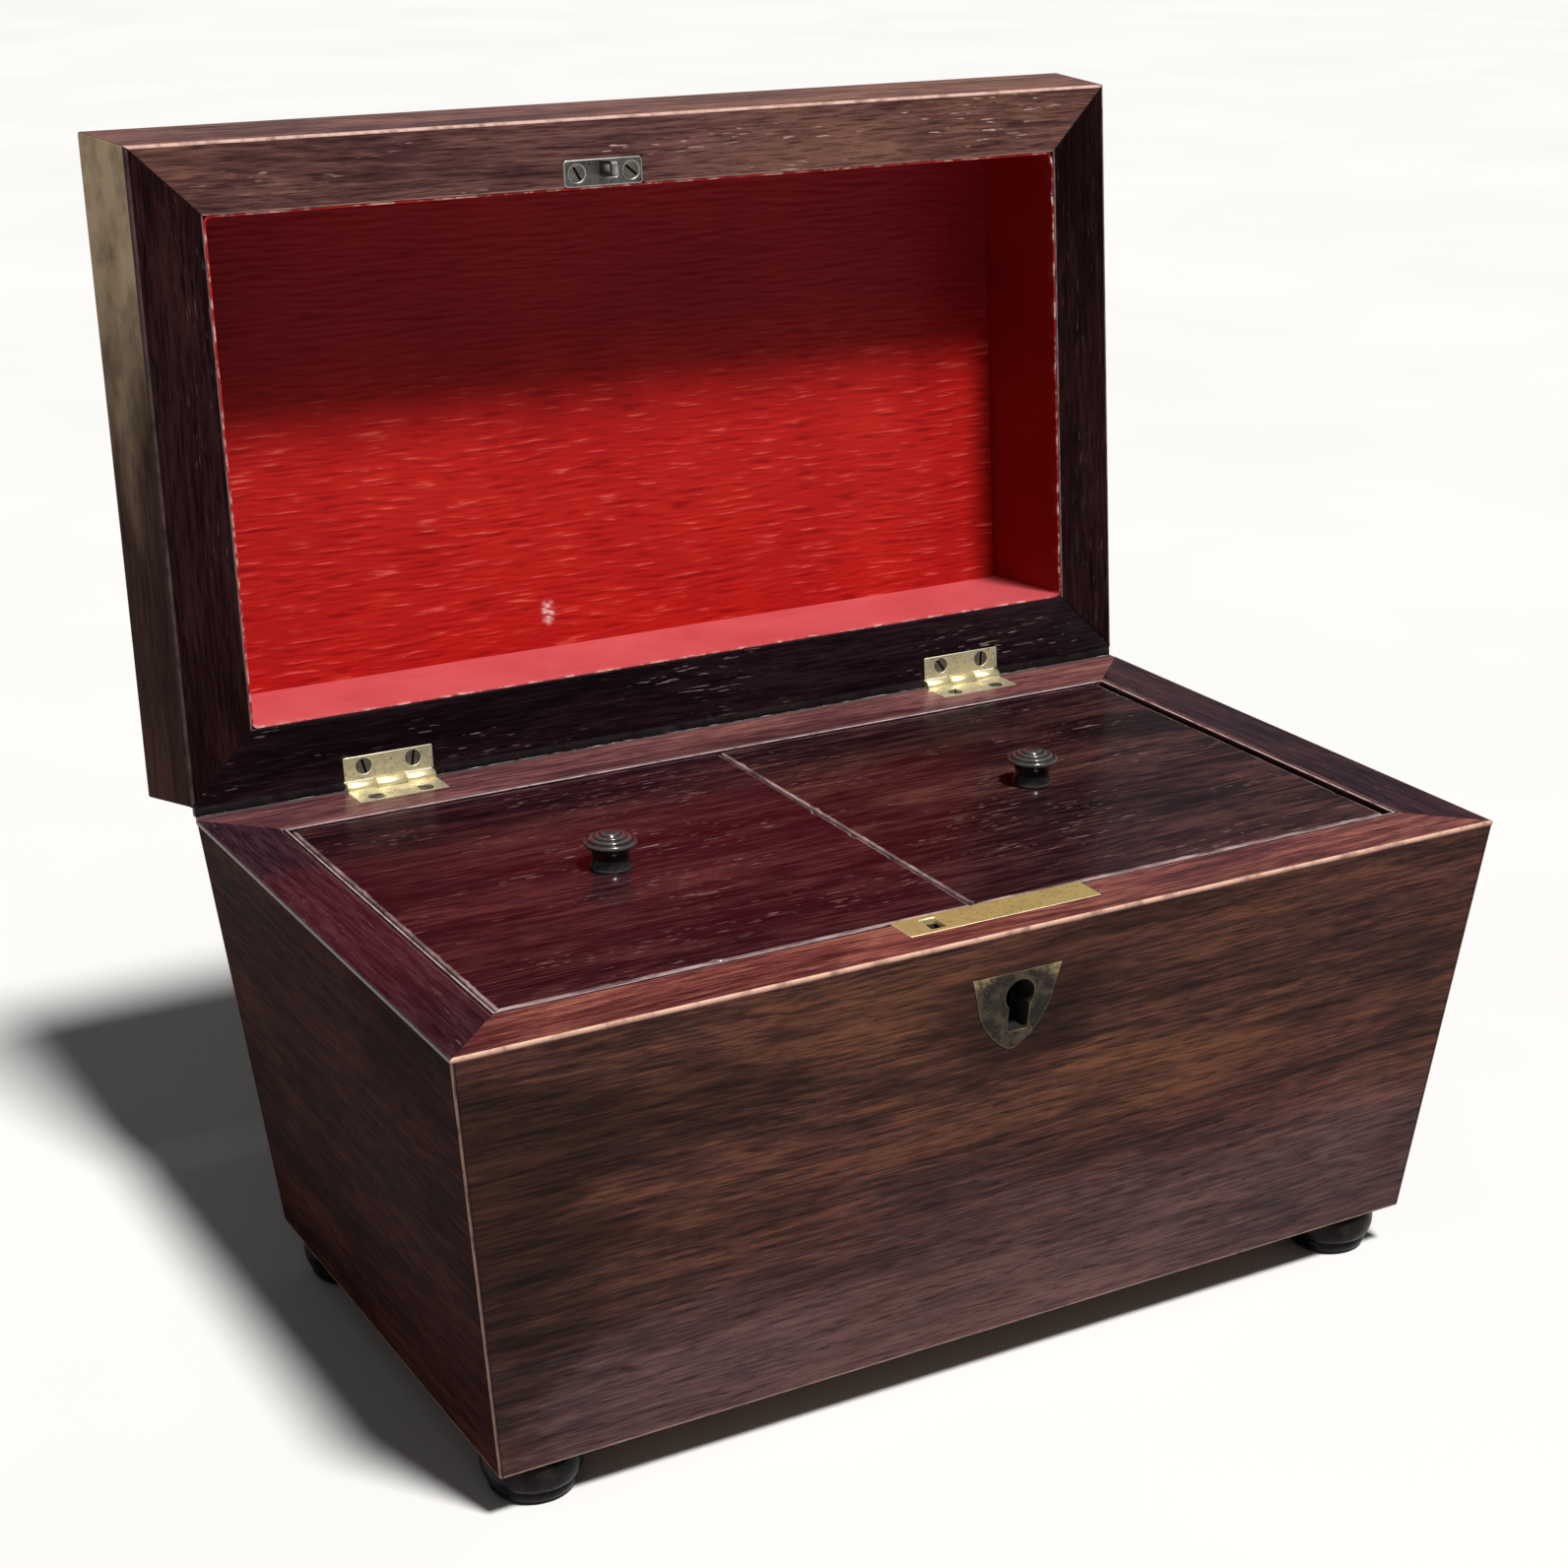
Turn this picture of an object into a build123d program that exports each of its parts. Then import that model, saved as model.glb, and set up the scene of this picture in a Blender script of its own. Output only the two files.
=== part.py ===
"""Sarcophagus tea caddy with two compartments, its lid standing open on its hinges.

Millimetres. +X is the caddy's right, +Y its back and +Z up. The origin is the centre of the
floor area under the feet. Every lid piece is drawn in the lid's own frame, LID, in which x and y
are those of the closed lid and the third coordinate is the height above the lid's lower edge.
"""

import os
from math import atan2, cos, radians, sin

from build123d import *

os.makedirs("parts", exist_ok=True)

# Body: outer size at the rim, and how far each side leans in on its way down.
WIDTH = 240.0
DEPTH = 138.6
BODY_HEIGHT = 94.0
LEAN = 10.0
FOOT_HEIGHT = 10.0
RIM_Z = FOOT_HEIGHT + BODY_HEIGHT
VENEER = 1.0
BOTTOM_THICKNESS = 7.0
FLOOR_Z = FOOT_HEIGHT + BOTTOM_THICKNESS

# Well: offsets are measured in from the rim's outer edge.
RIM_WIDTH = 14.0
BEAD_WIDTH = 1.2
BEAD_DROP = 0.05
BEAD_ROUND = 0.4
WELL_BOARD = 4.0
DIVIDER_X = -2.0
DIVIDER_THICKNESS = 5.0
FOIL = 0.4

# Inner lids and their knobs.
INNER_LID_THICKNESS = 6.0
INNER_LID_DROP = 0.3
INNER_LID_GAP = 0.5
RIGHT_LID_GAP = 1.8
LEDGE_Z = RIM_Z - INNER_LID_DROP - INNER_LID_THICKNESS
LIFT_GAP = 0.05
KNOB_X = {"left": -55.0, "right": 48.5}
KNOB_Y = 0.8
KNOB_RADIUS = 5.6
KNOB_HEIGHT = 8.0
KNOB_SPIGOT_RADIUS = 2.0

# Feet: turned buns, each with a dowel in the bottom board.
FOOT_X = 98.8
FOOT_Y = 48.5
FOOT_RADIUS = 10.3
FOOT_DOWEL_RADIUS = 3.0
FOOT_DOWEL_LENGTH = 5.0

# Lid: an upright band, then a roof that slopes in to a flat top.
LID_OPEN_DEG = 94.5
LID_GAP = 0.05
LID_BAND = 24.0
LID_HEIGHT = 36.8
LID_TOP_INSET = 17.6
LID_TOP_VENEER = 0.8
LID_WALL = 14.9
LID_HOLLOW = 30.5
PAPER = 0.4

# Hinges: stopped butt hinges, their pins behind the back at the level of the rim.
HINGE_X = 75.0
HINGE_LENGTH = 21.0
HINGE_SETBACK = 2.1
HINGE_Y = DEPTH / 2 + HINGE_SETBACK
BARREL_RADIUS = 1.5
PIN_RADIUS = 0.65
PIN_CLEARANCE = 0.05
KNUCKLE_GAP = 0.1
LEAF_THICKNESS = 0.95
BODY_LEAF_Y = 62.2
LID_LEAF_Y = 64.2
HINGE_SCREW_SPREAD = 5.8
BODY_SCREW_Y = 65.0
LID_SCREW_Y = 66.6

# Lips along the back edges of the body's and the lid's rims, broken at the hinges.
BODY_LIP = 1.9
LID_LIP = 2.2
LIP_HEIGHT = 1.6
LIP_END = 0.5
LIP_GAP = 0.1

# Wood screws.
SCREW_HEAD_RADIUS = 1.8
SCREW_HEAD_HEIGHT = 0.9
SCREW_SHANK_RADIUS = 0.85
SCREW_LENGTH = 7.5
SCREW_SLOT_WIDTH = 0.5
SCREW_SLOT_DEPTH = 0.45

# Lock, let into the front board.
PLATE_X = (-21.6, 23.2)
PLATE_Y = (-62.3, RIM_WIDTH + BEAD_WIDTH - DEPTH / 2)
PLATE_THICKNESS = 1.2
CASE_X = (-20.0, 20.6)
CASE_Y = (-60.6, -55.5)
CASE_BOTTOM_Z = 78.0
CASE_TOP_Z = RIM_Z - PLATE_THICKNESS
CASE_WALL = 0.7
CAP_Y = (CASE_Y[0] - CASE_WALL, CASE_Y[0])
SLOT_X = (-15.9, -12.3)
SLOT_Y = (-60.8, -55.8)
KEYHOLE_X = 0.3
KEYHOLE_Z = RIM_Z - 14.7
KEYHOLE_RADIUS = 3.4
KEYHOLE_SLOT = 4.8
KEYHOLE_DROP = 8.0
DRILL_PIN_RADIUS = 1.1

# Bolt: it slides towards -X and passes through the staple.
BOLT_TRAVEL = 5.0
BOLT_Y = (-58.9, -57.5)
BOLT_X = (-7.5, 14.0)
BOLT_Z = (93.0, 101.5)
TONGUE_TIP_X = -12.0
TONGUE_Z = (99.3, 101.5)
STUD_X = (-5.5, 6.5)
STUD_Z = 97.3
STUD_RADIUS = 0.85
STUD_CLEARANCE = 0.1

# Keeper plate and its staple, on the lid's front rim.
KEEPER_X = (-23.6, -4.4)
KEEPER_Y = (-60.4, -54.4)
KEEPER_SCREW_X = (-20.4, -7.2)
STAPLE_X = (-14.9, -13.3)
STAPLE_Y = (-60.0, -56.6)
STAPLE_LENGTH = 6.2
STAPLE_HOLE_HALF = 0.95
STAPLE_HOLE_H = (-5.2, -2.0)

# Escutcheon: a shield inlaid in the front veneer, measured down the leaning face.
SHIELD_X = -0.7
SHIELD_TOP = 9.4
SHIELD_HALF = 10.4
SHIELD_SIDE = 5.5
SHIELD_TAPER = 1.5
SHIELD_HEIGHT = 17.6
SHIELD_PROUD = 0.15

CORNERS = [(-1, -1), (1, -1), (1, 1), (-1, 1)]
SIDES = ["front", "right", "back", "left"]

OPEN = radians(LID_OPEN_DEG)
LID = Plane(
    origin=(0, HINGE_Y * (1 - cos(OPEN)), RIM_Z + HINGE_Y * sin(OPEN)),
    x_dir=(1, 0, 0),
    z_dir=(0, sin(OPEN), cos(OPEN)),
)

FACE_ANGLE = atan2(LEAN, BODY_HEIGHT)
SHIELD_PLANE = Plane(
    origin=(SHIELD_X, -DEPTH / 2, RIM_Z),
    x_dir=(1, 0, 0),
    z_dir=(0, -cos(FACE_ANGLE), -sin(FACE_ANGLE)),
)


def level(z):
    """The horizontal plane at height z."""
    return Plane.XY.offset(z)


def lid_level(h):
    """The plane of the lid at height h above its lower edge."""
    return LID.offset(h)


def lean(z):
    """How far the body's sides have leaned in at height z."""
    return LEAN * (RIM_Z - z) / BODY_HEIGHT


def flare(h):
    """How far the lid's walls have spread out at height h, on the same slope as the body's sides."""
    return LEAN * h / BODY_HEIGHT


def roof(h):
    """How far the lid's roof has sloped in at height h."""
    eaves = -flare(LID_BAND)
    return eaves + (LID_TOP_INSET - eaves) * (h - LID_BAND) / (LID_HEIGHT - LID_BAND)


def mitred_side(side, plane_at, stages):
    """One mitred side of a frame, through stages of (height, outer offset, inner offset)."""
    first = SIDES.index(side)
    ends = [CORNERS[first], CORNERS[(first + 1) % 4]]
    with BuildPart() as piece:
        for lower, upper in zip(stages, stages[1:]):
            for height, outer, inner in (lower, upper):
                outer_edge = [(i * (WIDTH / 2 - outer), j * (DEPTH / 2 - outer)) for i, j in ends]
                inner_edge = [(i * (WIDTH / 2 - inner), j * (DEPTH / 2 - inner)) for i, j in ends]
                with BuildSketch(plane_at(height)):
                    Polygon(*outer_edge, *reversed(inner_edge))
            loft(ruled=True)
    return piece.part


def tapered_slab(plane_at, stages):
    """A rectangular slab through stages of (height, offset)."""
    with BuildPart() as piece:
        for height, offset_in in stages:
            with BuildSketch(plane_at(height)):
                Rectangle(WIDTH - 2 * offset_in, DEPTH - 2 * offset_in)
        loft(ruled=True)
    return piece.part


def block(plane, x_span, y_span, thickness):
    """A square block standing on a plane, between two x and two y values."""
    with BuildPart() as piece:
        with BuildSketch(plane):
            with Locations((sum(x_span) / 2, sum(y_span) / 2)):
                Rectangle(x_span[1] - x_span[0], y_span[1] - y_span[0])
        extrude(amount=thickness)
    return piece.part


def rod(x, z, radius, y_span):
    """A round rod that lies along Y."""
    with BuildPart() as piece:
        with BuildSketch(Plane.XZ.offset(-y_span[0])):
            with Locations((x, z)):
                Circle(radius)
        extrude(amount=y_span[0] - y_span[1])
    return piece.part


def barrel(x_span, radius):
    """A round bar on the hinge axis."""
    with BuildPart() as piece:
        with BuildSketch(Plane.YZ.offset(x_span[0])):
            with Locations((HINGE_Y, RIM_Z)):
                Circle(radius)
        extrude(amount=x_span[1] - x_span[0])
    return piece.part


def screw(seat, slotted=True):
    """A countersunk wood screw with its head flush in the seat plane."""
    with BuildPart() as piece:
        with BuildSketch(seat):
            Circle(SCREW_HEAD_RADIUS)
        with BuildSketch(seat.offset(-SCREW_HEAD_HEIGHT)):
            Circle(SCREW_SHANK_RADIUS)
        loft()
        with BuildSketch(seat.offset(-SCREW_HEAD_HEIGHT)):
            Circle(SCREW_SHANK_RADIUS)
        extrude(amount=SCREW_HEAD_HEIGHT - SCREW_LENGTH)
        if slotted:
            with BuildSketch(seat):
                Rectangle(3 * SCREW_HEAD_RADIUS, SCREW_SLOT_WIDTH, rotation=25)
            extrude(amount=-SCREW_SLOT_DEPTH, mode=Mode.SUBTRACT)
    return piece.part


def body_seat(x, y):
    """A screw's seat in the top of a body hinge leaf."""
    return Plane(origin=(x, y, RIM_Z - LID_GAP), x_dir=(1, 0, 0), z_dir=(0, 0, 1))


def lid_section(x):
    """The plane across the lid at x, on which points are (y, height)."""
    return Plane(origin=LID.from_local_coords((x, 0, 0)), x_dir=LID.y_dir, z_dir=LID.x_dir)


def lid_seat(x, y):
    """A screw's seat in the lid's lower edge."""
    return Plane(origin=LID.from_local_coords((x, y, LID_GAP)), x_dir=(1, 0, 0), z_dir=-LID.z_dir)


def keyhole():
    """The keyhole's passage from the front face to the back of the lock cap."""
    start, end = -DEPTH / 2 - 2.0, CAP_Y[1]
    with BuildPart() as piece:
        with BuildSketch(Plane.XZ.offset(-start)):
            with Locations((KEYHOLE_X, KEYHOLE_Z)):
                Circle(KEYHOLE_RADIUS)
            with Locations((KEYHOLE_X, KEYHOLE_Z - KEYHOLE_DROP / 2)):
                Rectangle(KEYHOLE_SLOT, KEYHOLE_DROP)
        extrude(amount=start - end)
    return piece.part


def shield(back, front):
    """The shield between two depths, measured out from the front face."""
    tip = SHIELD_TOP + SHIELD_HEIGHT
    shoulder = SHIELD_TOP + SHIELD_SIDE
    corner = SHIELD_HALF - SHIELD_TAPER
    bulge_x = SHIELD_HALF * 0.575
    bulge_v = shoulder + (tip - shoulder) * 0.593
    with BuildPart() as piece:
        with BuildSketch(SHIELD_PLANE.offset(back)):
            with BuildLine():
                Polyline(
                    (-corner, -shoulder),
                    (-SHIELD_HALF, -SHIELD_TOP),
                    (SHIELD_HALF, -SHIELD_TOP),
                    (corner, -shoulder),
                )
                ThreePointArc((corner, -shoulder), (bulge_x, -bulge_v), (0, -tip))
                ThreePointArc((0, -tip), (-bulge_x, -bulge_v), (-corner, -shoulder))
            make_face()
        extrude(amount=front - back)
    return piece.part


def write(part, name):
    """Label a finished piece, or a group of like pieces, and write its STEP file."""
    part.label = name
    export_step(part, f"parts/{name}.step")


# ---------------------------------------------------------------- the body's carcass

HINGES = {"left": -HINGE_X, "right": HINGE_X}
LOCK_PLATE_POCKET = block(level(CASE_TOP_Z), PLATE_X, PLATE_Y, 2 * PLATE_THICKNESS)
FOOT_PLACES = {
    "front_left": (-FOOT_X, -FOOT_Y),
    "front_right": (FOOT_X, -FOOT_Y),
    "back_left": (-FOOT_X, FOOT_Y),
    "back_right": (FOOT_X, FOOT_Y),
}
HINGE_REACH = HINGE_LENGTH / 2 + LIP_GAP
LIP_SPANS = [
    (LIP_END - WIDTH / 2, -HINGE_X - HINGE_REACH),
    (HINGE_REACH - HINGE_X, HINGE_X - HINGE_REACH),
    (HINGE_X + HINGE_REACH, WIDTH / 2 - LIP_END),
]

with BuildPart() as bottom_board:
    add(
        tapered_slab(
            level,
            [(FOOT_HEIGHT, VENEER + lean(FOOT_HEIGHT)), (FLOOR_Z, VENEER + lean(FLOOR_Z))],
        )
    )
    with BuildSketch(level(FOOT_HEIGHT)):
        with Locations(*FOOT_PLACES.values()):
            Circle(FOOT_DOWEL_RADIUS)
    extrude(amount=FOOT_DOWEL_LENGTH, mode=Mode.SUBTRACT)
write(bottom_board.part, "bottom_board")

board_stages = [
    (FLOOR_Z, VENEER + lean(FLOOR_Z), RIM_WIDTH),
    (RIM_Z - VENEER, VENEER + lean(RIM_Z - VENEER), RIM_WIDTH),
]
veneer_stages = [
    (FOOT_HEIGHT, lean(FOOT_HEIGHT), VENEER + lean(FOOT_HEIGHT)),
    (RIM_Z - VENEER, lean(RIM_Z - VENEER), VENEER + lean(RIM_Z - VENEER)),
]
rim_stages = [(RIM_Z - VENEER, lean(RIM_Z - VENEER), RIM_WIDTH), (RIM_Z, 0, RIM_WIDTH)]
bead_stages = [
    (LEDGE_Z, RIM_WIDTH, RIM_WIDTH + BEAD_WIDTH),
    (RIM_Z - BEAD_DROP, RIM_WIDTH, RIM_WIDTH + BEAD_WIDTH),
]
BODY_SCREW_SEATS = [
    body_seat(x + spread, BODY_SCREW_Y)
    for x in HINGES.values()
    for spread in (-HINGE_SCREW_SPREAD, HINGE_SCREW_SPREAD)
]

with BuildPart() as front_board:
    add(mitred_side("front", level, board_stages))
    add(LOCK_PLATE_POCKET, mode=Mode.SUBTRACT)
    add(
        block(level(CASE_BOTTOM_Z), CASE_X, (CAP_Y[0], CASE_Y[1]), BODY_HEIGHT),
        mode=Mode.SUBTRACT,
    )
    add(keyhole(), mode=Mode.SUBTRACT)
write(front_board.part, "front_board")

with BuildPart() as back_board:
    add(mitred_side("back", level, board_stages))
    for seat in BODY_SCREW_SEATS:
        add(screw(seat, slotted=False), mode=Mode.SUBTRACT)
write(back_board.part, "back_board")

write(mitred_side("left", level, board_stages), "left_board")
write(mitred_side("right", level, board_stages), "right_board")

with BuildPart() as front_veneer:
    add(mitred_side("front", level, veneer_stages))
    add(shield(-2 * VENEER, 2 * VENEER), mode=Mode.SUBTRACT)
write(front_veneer.part, "front_veneer")

for side in ("back", "left", "right"):
    write(mitred_side(side, level, veneer_stages), f"{side}_veneer")

for side in SIDES:
    with BuildPart() as rim:
        add(mitred_side(side, level, rim_stages))
        if side == "front":
            add(LOCK_PLATE_POCKET, mode=Mode.SUBTRACT)
        if side == "back":
            for x in HINGES.values():
                leaf_x = (x - HINGE_LENGTH / 2, x + HINGE_LENGTH / 2)
                mortise = block(level(RIM_Z - VENEER), leaf_x, (BODY_LEAF_Y, DEPTH), 2 * VENEER)
                add(mortise, mode=Mode.SUBTRACT)
            for span in LIP_SPANS:
                with BuildSketch(Plane.YZ.offset(span[0])):
                    Polygon(
                        (DEPTH / 2, RIM_Z),
                        (DEPTH / 2 - lean(RIM_Z - LIP_HEIGHT), RIM_Z - LIP_HEIGHT),
                        (DEPTH / 2 + BODY_LIP, RIM_Z - LIP_HEIGHT),
                        (DEPTH / 2 + BODY_LIP, RIM_Z),
                    )
                extrude(amount=span[1] - span[0])
    write(rim.part, f"rim_{side}")

# ---------------------------------------------------------------- the well and its linings

beads = []
for side in SIDES:
    with BuildPart() as bead:
        add(mitred_side(side, level, bead_stages))
        top_edges = bead.edges().group_by(Axis.Z)[-1]
        fillet(top_edges.filter_by(Axis.X if side in ("front", "back") else Axis.Y), BEAD_ROUND)
        if side == "front":
            add(LOCK_PLATE_POCKET, mode=Mode.SUBTRACT)
    beads += bead.part.solids()
write(Compound(children=beads), "bead_strips")

well_board_stages = [
    (FLOOR_Z, RIM_WIDTH, RIM_WIDTH + WELL_BOARD),
    (LEDGE_Z, RIM_WIDTH, RIM_WIDTH + WELL_BOARD),
]
well_boards = [mitred_side(side, level, well_board_stages).solid() for side in SIDES]
write(Compound(children=well_boards), "well_boards")

WELL_X = WIDTH / 2 - RIM_WIDTH - WELL_BOARD
WELL_Y = DEPTH / 2 - RIM_WIDTH - WELL_BOARD
DIVIDER_SPAN = (DIVIDER_X - DIVIDER_THICKNESS / 2, DIVIDER_X + DIVIDER_THICKNESS / 2)

write(block(level(FLOOR_Z), DIVIDER_SPAN, (-WELL_Y, WELL_Y), LEDGE_Z - FLOOR_Z), "divider")

with BuildPart() as foil_linings:
    for span in ((-WELL_X, DIVIDER_SPAN[0]), (DIVIDER_SPAN[1], WELL_X)):
        add(block(level(FLOOR_Z), span, (-WELL_Y, WELL_Y), LEDGE_Z - FLOOR_Z))
        inner = (span[0] + FOIL, span[1] - FOIL)
        hollow = block(level(FLOOR_Z + FOIL), inner, (FOIL - WELL_Y, WELL_Y - FOIL), BODY_HEIGHT)
        add(hollow, mode=Mode.SUBTRACT)
write(foil_linings.part, "foil_linings")

# ---------------------------------------------------------------- feet

for name, (x, y) in FOOT_PLACES.items():
    with BuildPart() as foot:
        with BuildSketch(Plane.XZ.offset(-y)):
            with BuildLine():
                Polyline(
                    (x, 0),
                    (x, FOOT_HEIGHT + FOOT_DOWEL_LENGTH),
                    (x + FOOT_DOWEL_RADIUS, FOOT_HEIGHT + FOOT_DOWEL_LENGTH),
                    (x + FOOT_DOWEL_RADIUS, FOOT_HEIGHT),
                    (x + 0.86 * FOOT_RADIUS, FOOT_HEIGHT),
                )
                ThreePointArc(
                    (x + 0.86 * FOOT_RADIUS, FOOT_HEIGHT),
                    (x + FOOT_RADIUS, 0.62 * FOOT_HEIGHT),
                    (x + 0.88 * FOOT_RADIUS, 0.27 * FOOT_HEIGHT),
                )
                ThreePointArc(
                    (x + 0.88 * FOOT_RADIUS, 0.27 * FOOT_HEIGHT),
                    (x + 0.84 * FOOT_RADIUS, 0.12 * FOOT_HEIGHT),
                    (x + 0.68 * FOOT_RADIUS, 0),
                )
                Line((x + 0.68 * FOOT_RADIUS, 0), (x, 0))
            make_face()
        revolve(axis=Axis((x, y, 0), (0, 0, 1)))
    write(foot.part, f"foot_{name}")

# ---------------------------------------------------------------- inner lids and knobs

BEAD_INNER_X = WIDTH / 2 - RIM_WIDTH - BEAD_WIDTH
BEAD_INNER_Y = DEPTH / 2 - RIM_WIDTH - BEAD_WIDTH
INNER_LID_Y = (INNER_LID_GAP - BEAD_INNER_Y, BEAD_INNER_Y - INNER_LID_GAP)
INNER_LID_X = {
    "left": (INNER_LID_GAP - BEAD_INNER_X, DIVIDER_X - INNER_LID_GAP / 2),
    "right": (DIVIDER_X + INNER_LID_GAP / 2, BEAD_INNER_X - RIGHT_LID_GAP),
}
INNER_LID_TOP_Z = LEDGE_Z + INNER_LID_THICKNESS

for side, x_span in INNER_LID_X.items():
    knob_x = KNOB_X[side]
    knob_axis = Axis((knob_x, KNOB_Y, 0), (0, 0, 1))
    spigot_depth = INNER_LID_THICKNESS - VENEER

    with BuildPart() as inner_board:
        board_z = LEDGE_Z + LIFT_GAP
        add(block(level(board_z), x_span, INNER_LID_Y, INNER_LID_TOP_Z - VENEER - board_z))
        with BuildSketch(level(INNER_LID_TOP_Z - spigot_depth)):
            with Locations((knob_x, KNOB_Y)):
                Circle(KNOB_SPIGOT_RADIUS)
        extrude(amount=spigot_depth, mode=Mode.SUBTRACT)
    write(inner_board.part, f"inner_lid_{side}_board")

    with BuildPart() as inner_veneer:
        add(block(level(INNER_LID_TOP_Z - VENEER), x_span, INNER_LID_Y, VENEER))
        with BuildSketch(level(INNER_LID_TOP_Z - VENEER)):
            with Locations((knob_x, KNOB_Y)):
                Circle(KNOB_SPIGOT_RADIUS)
        extrude(amount=VENEER, mode=Mode.SUBTRACT)
        chamfer(inner_veneer.edges().group_by(Axis.Z)[-1].filter_by(GeomType.LINE), length=0.3)
    write(inner_veneer.part, f"inner_lid_{side}_veneer")

    with BuildPart() as knob:
        z = INNER_LID_TOP_Z
        with BuildSketch(Plane.XZ.offset(-KNOB_Y)):
            with BuildLine():
                Polyline(
                    (knob_x, z - spigot_depth),
                    (knob_x + KNOB_SPIGOT_RADIUS, z - spigot_depth),
                    (knob_x + KNOB_SPIGOT_RADIUS, z),
                    (knob_x + 4.4, z),
                    (knob_x + 4.4, z + 0.6),
                )
                ThreePointArc(
                    (knob_x + 4.4, z + 0.6),
                    (knob_x + 3.7, z + 2.6),
                    (knob_x + 4.5, z + 4.9),
                )
                ThreePointArc(
                    (knob_x + 4.5, z + 4.9),
                    (knob_x + KNOB_RADIUS, z + 5.7),
                    (knob_x + 5.1, z + 6.4),
                )
                Polyline(
                    (knob_x + 5.1, z + 6.4),
                    (knob_x + 4.5, z + 6.2),
                    (knob_x + 4.1, z + 6.9),
                    (knob_x + 3.2, z + 6.8),
                    (knob_x + 2.8, z + 7.4),
                    (knob_x + 1.9, z + 7.3),
                    (knob_x + 1.5, z + 7.9),
                    (knob_x, z + KNOB_HEIGHT),
                    (knob_x, z - spigot_depth),
                )
            make_face()
        revolve(axis=knob_axis)
    write(knob.part, f"knob_{side}")

# ---------------------------------------------------------------- lock

with BuildPart() as lock_plate:
    add(block(level(CASE_TOP_Z), PLATE_X, PLATE_Y, PLATE_THICKNESS))
    add(block(level(CASE_TOP_Z), SLOT_X, SLOT_Y, PLATE_THICKNESS), mode=Mode.SUBTRACT)
write(lock_plate.part, "lock_plate")

CASE_INSIDE_X = (CASE_X[0] + CASE_WALL, CASE_X[1] - CASE_WALL)
CASE_INSIDE_Y = (CASE_Y[0], CASE_Y[1] - CASE_WALL)

with BuildPart() as lock_case:
    add(block(level(CASE_BOTTOM_Z), CASE_X, CASE_Y, CASE_TOP_Z - CASE_BOTTOM_Z))
    hollow = block(level(CASE_BOTTOM_Z + CASE_WALL), CASE_INSIDE_X, CASE_INSIDE_Y, BODY_HEIGHT)
    add(hollow, mode=Mode.SUBTRACT)
    for x in STUD_X:
        add(rod(x, STUD_Z, STUD_RADIUS, (BOLT_Y[0] - 0.5, CASE_INSIDE_Y[1])))
write(lock_case.part, "lock_case")

with BuildPart() as lock_cap:
    add(block(level(CASE_BOTTOM_Z), CASE_X, CAP_Y, CASE_TOP_Z - CASE_BOTTOM_Z))
    add(keyhole(), mode=Mode.SUBTRACT)
write(lock_cap.part, "lock_cap")

write(rod(KEYHOLE_X, KEYHOLE_Z, DRILL_PIN_RADIUS, (CAP_Y[0], CASE_INSIDE_Y[1])), "lock_drill_pin")

with BuildPart() as lock_spring:
    with BuildSketch(Plane.XZ.offset(-BOLT_Y[0])):
        Polygon(
            (CASE_INSIDE_X[1], 99.0),
            (CASE_INSIDE_X[1], 100.0),
            (15.2, 102.6),
            (6.0, 102.1),
            (6.0, 101.7),
            (15.1, 102.1),
        )
    extrude(amount=BOLT_Y[0] - BOLT_Y[1])
write(lock_spring.part, "lock_spring")

with BuildPart() as lock_bolt:
    with BuildSketch(Plane.XZ.offset(-BOLT_Y[0])):
        with Locations((sum(BOLT_X) / 2, sum(BOLT_Z) / 2)):
            Rectangle(BOLT_X[1] - BOLT_X[0], BOLT_Z[1] - BOLT_Z[0])
        with Locations(((TONGUE_TIP_X + BOLT_X[0]) / 2, sum(TONGUE_Z) / 2)):
            Rectangle(BOLT_X[0] - TONGUE_TIP_X, TONGUE_Z[1] - TONGUE_Z[0])
        with Locations(*[(x + BOLT_TRAVEL / 2, STUD_Z) for x in STUD_X]):
            SlotCenterToCenter(BOLT_TRAVEL, 2 * (STUD_RADIUS + STUD_CLEARANCE), mode=Mode.SUBTRACT)
        with Locations((KEYHOLE_X, BOLT_Z[0])):
            Rectangle(4.0, 4.0, mode=Mode.SUBTRACT)
    extrude(amount=BOLT_Y[0] - BOLT_Y[1])
write(lock_bolt.part, "lock_bolt")

with BuildPart() as escutcheon:
    add(shield(-VENEER * cos(FACE_ANGLE), SHIELD_PROUD))
    add(keyhole(), mode=Mode.SUBTRACT)
write(escutcheon.part, "escutcheon")

# ---------------------------------------------------------------- hinges

KNUCKLE = HINGE_LENGTH / 3


def hinge_leaf(plane, x, front_y, knuckles, bore):
    """One leaf on its plane, with the knuckles at the given thirds of its length."""
    start = x - HINGE_LENGTH / 2
    thirds = [
        (start + k * KNUCKLE + KNUCKLE_GAP / 2, start + (k + 1) * KNUCKLE - KNUCKLE_GAP / 2)
        for k in knuckles
    ]
    clear_y = HINGE_Y - BARREL_RADIUS - PIN_CLEARANCE * 5
    with BuildPart() as leaf:
        add(block(plane, (start, start + HINGE_LENGTH), (front_y, clear_y), LEAF_THICKNESS))
        for span in thirds:
            add(block(plane, span, (front_y, HINGE_Y), LEAF_THICKNESS))
            add(barrel(span, BARREL_RADIUS))
        add(barrel((start - 1, start + HINGE_LENGTH + 1), bore), mode=Mode.SUBTRACT)
    return leaf.part


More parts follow.
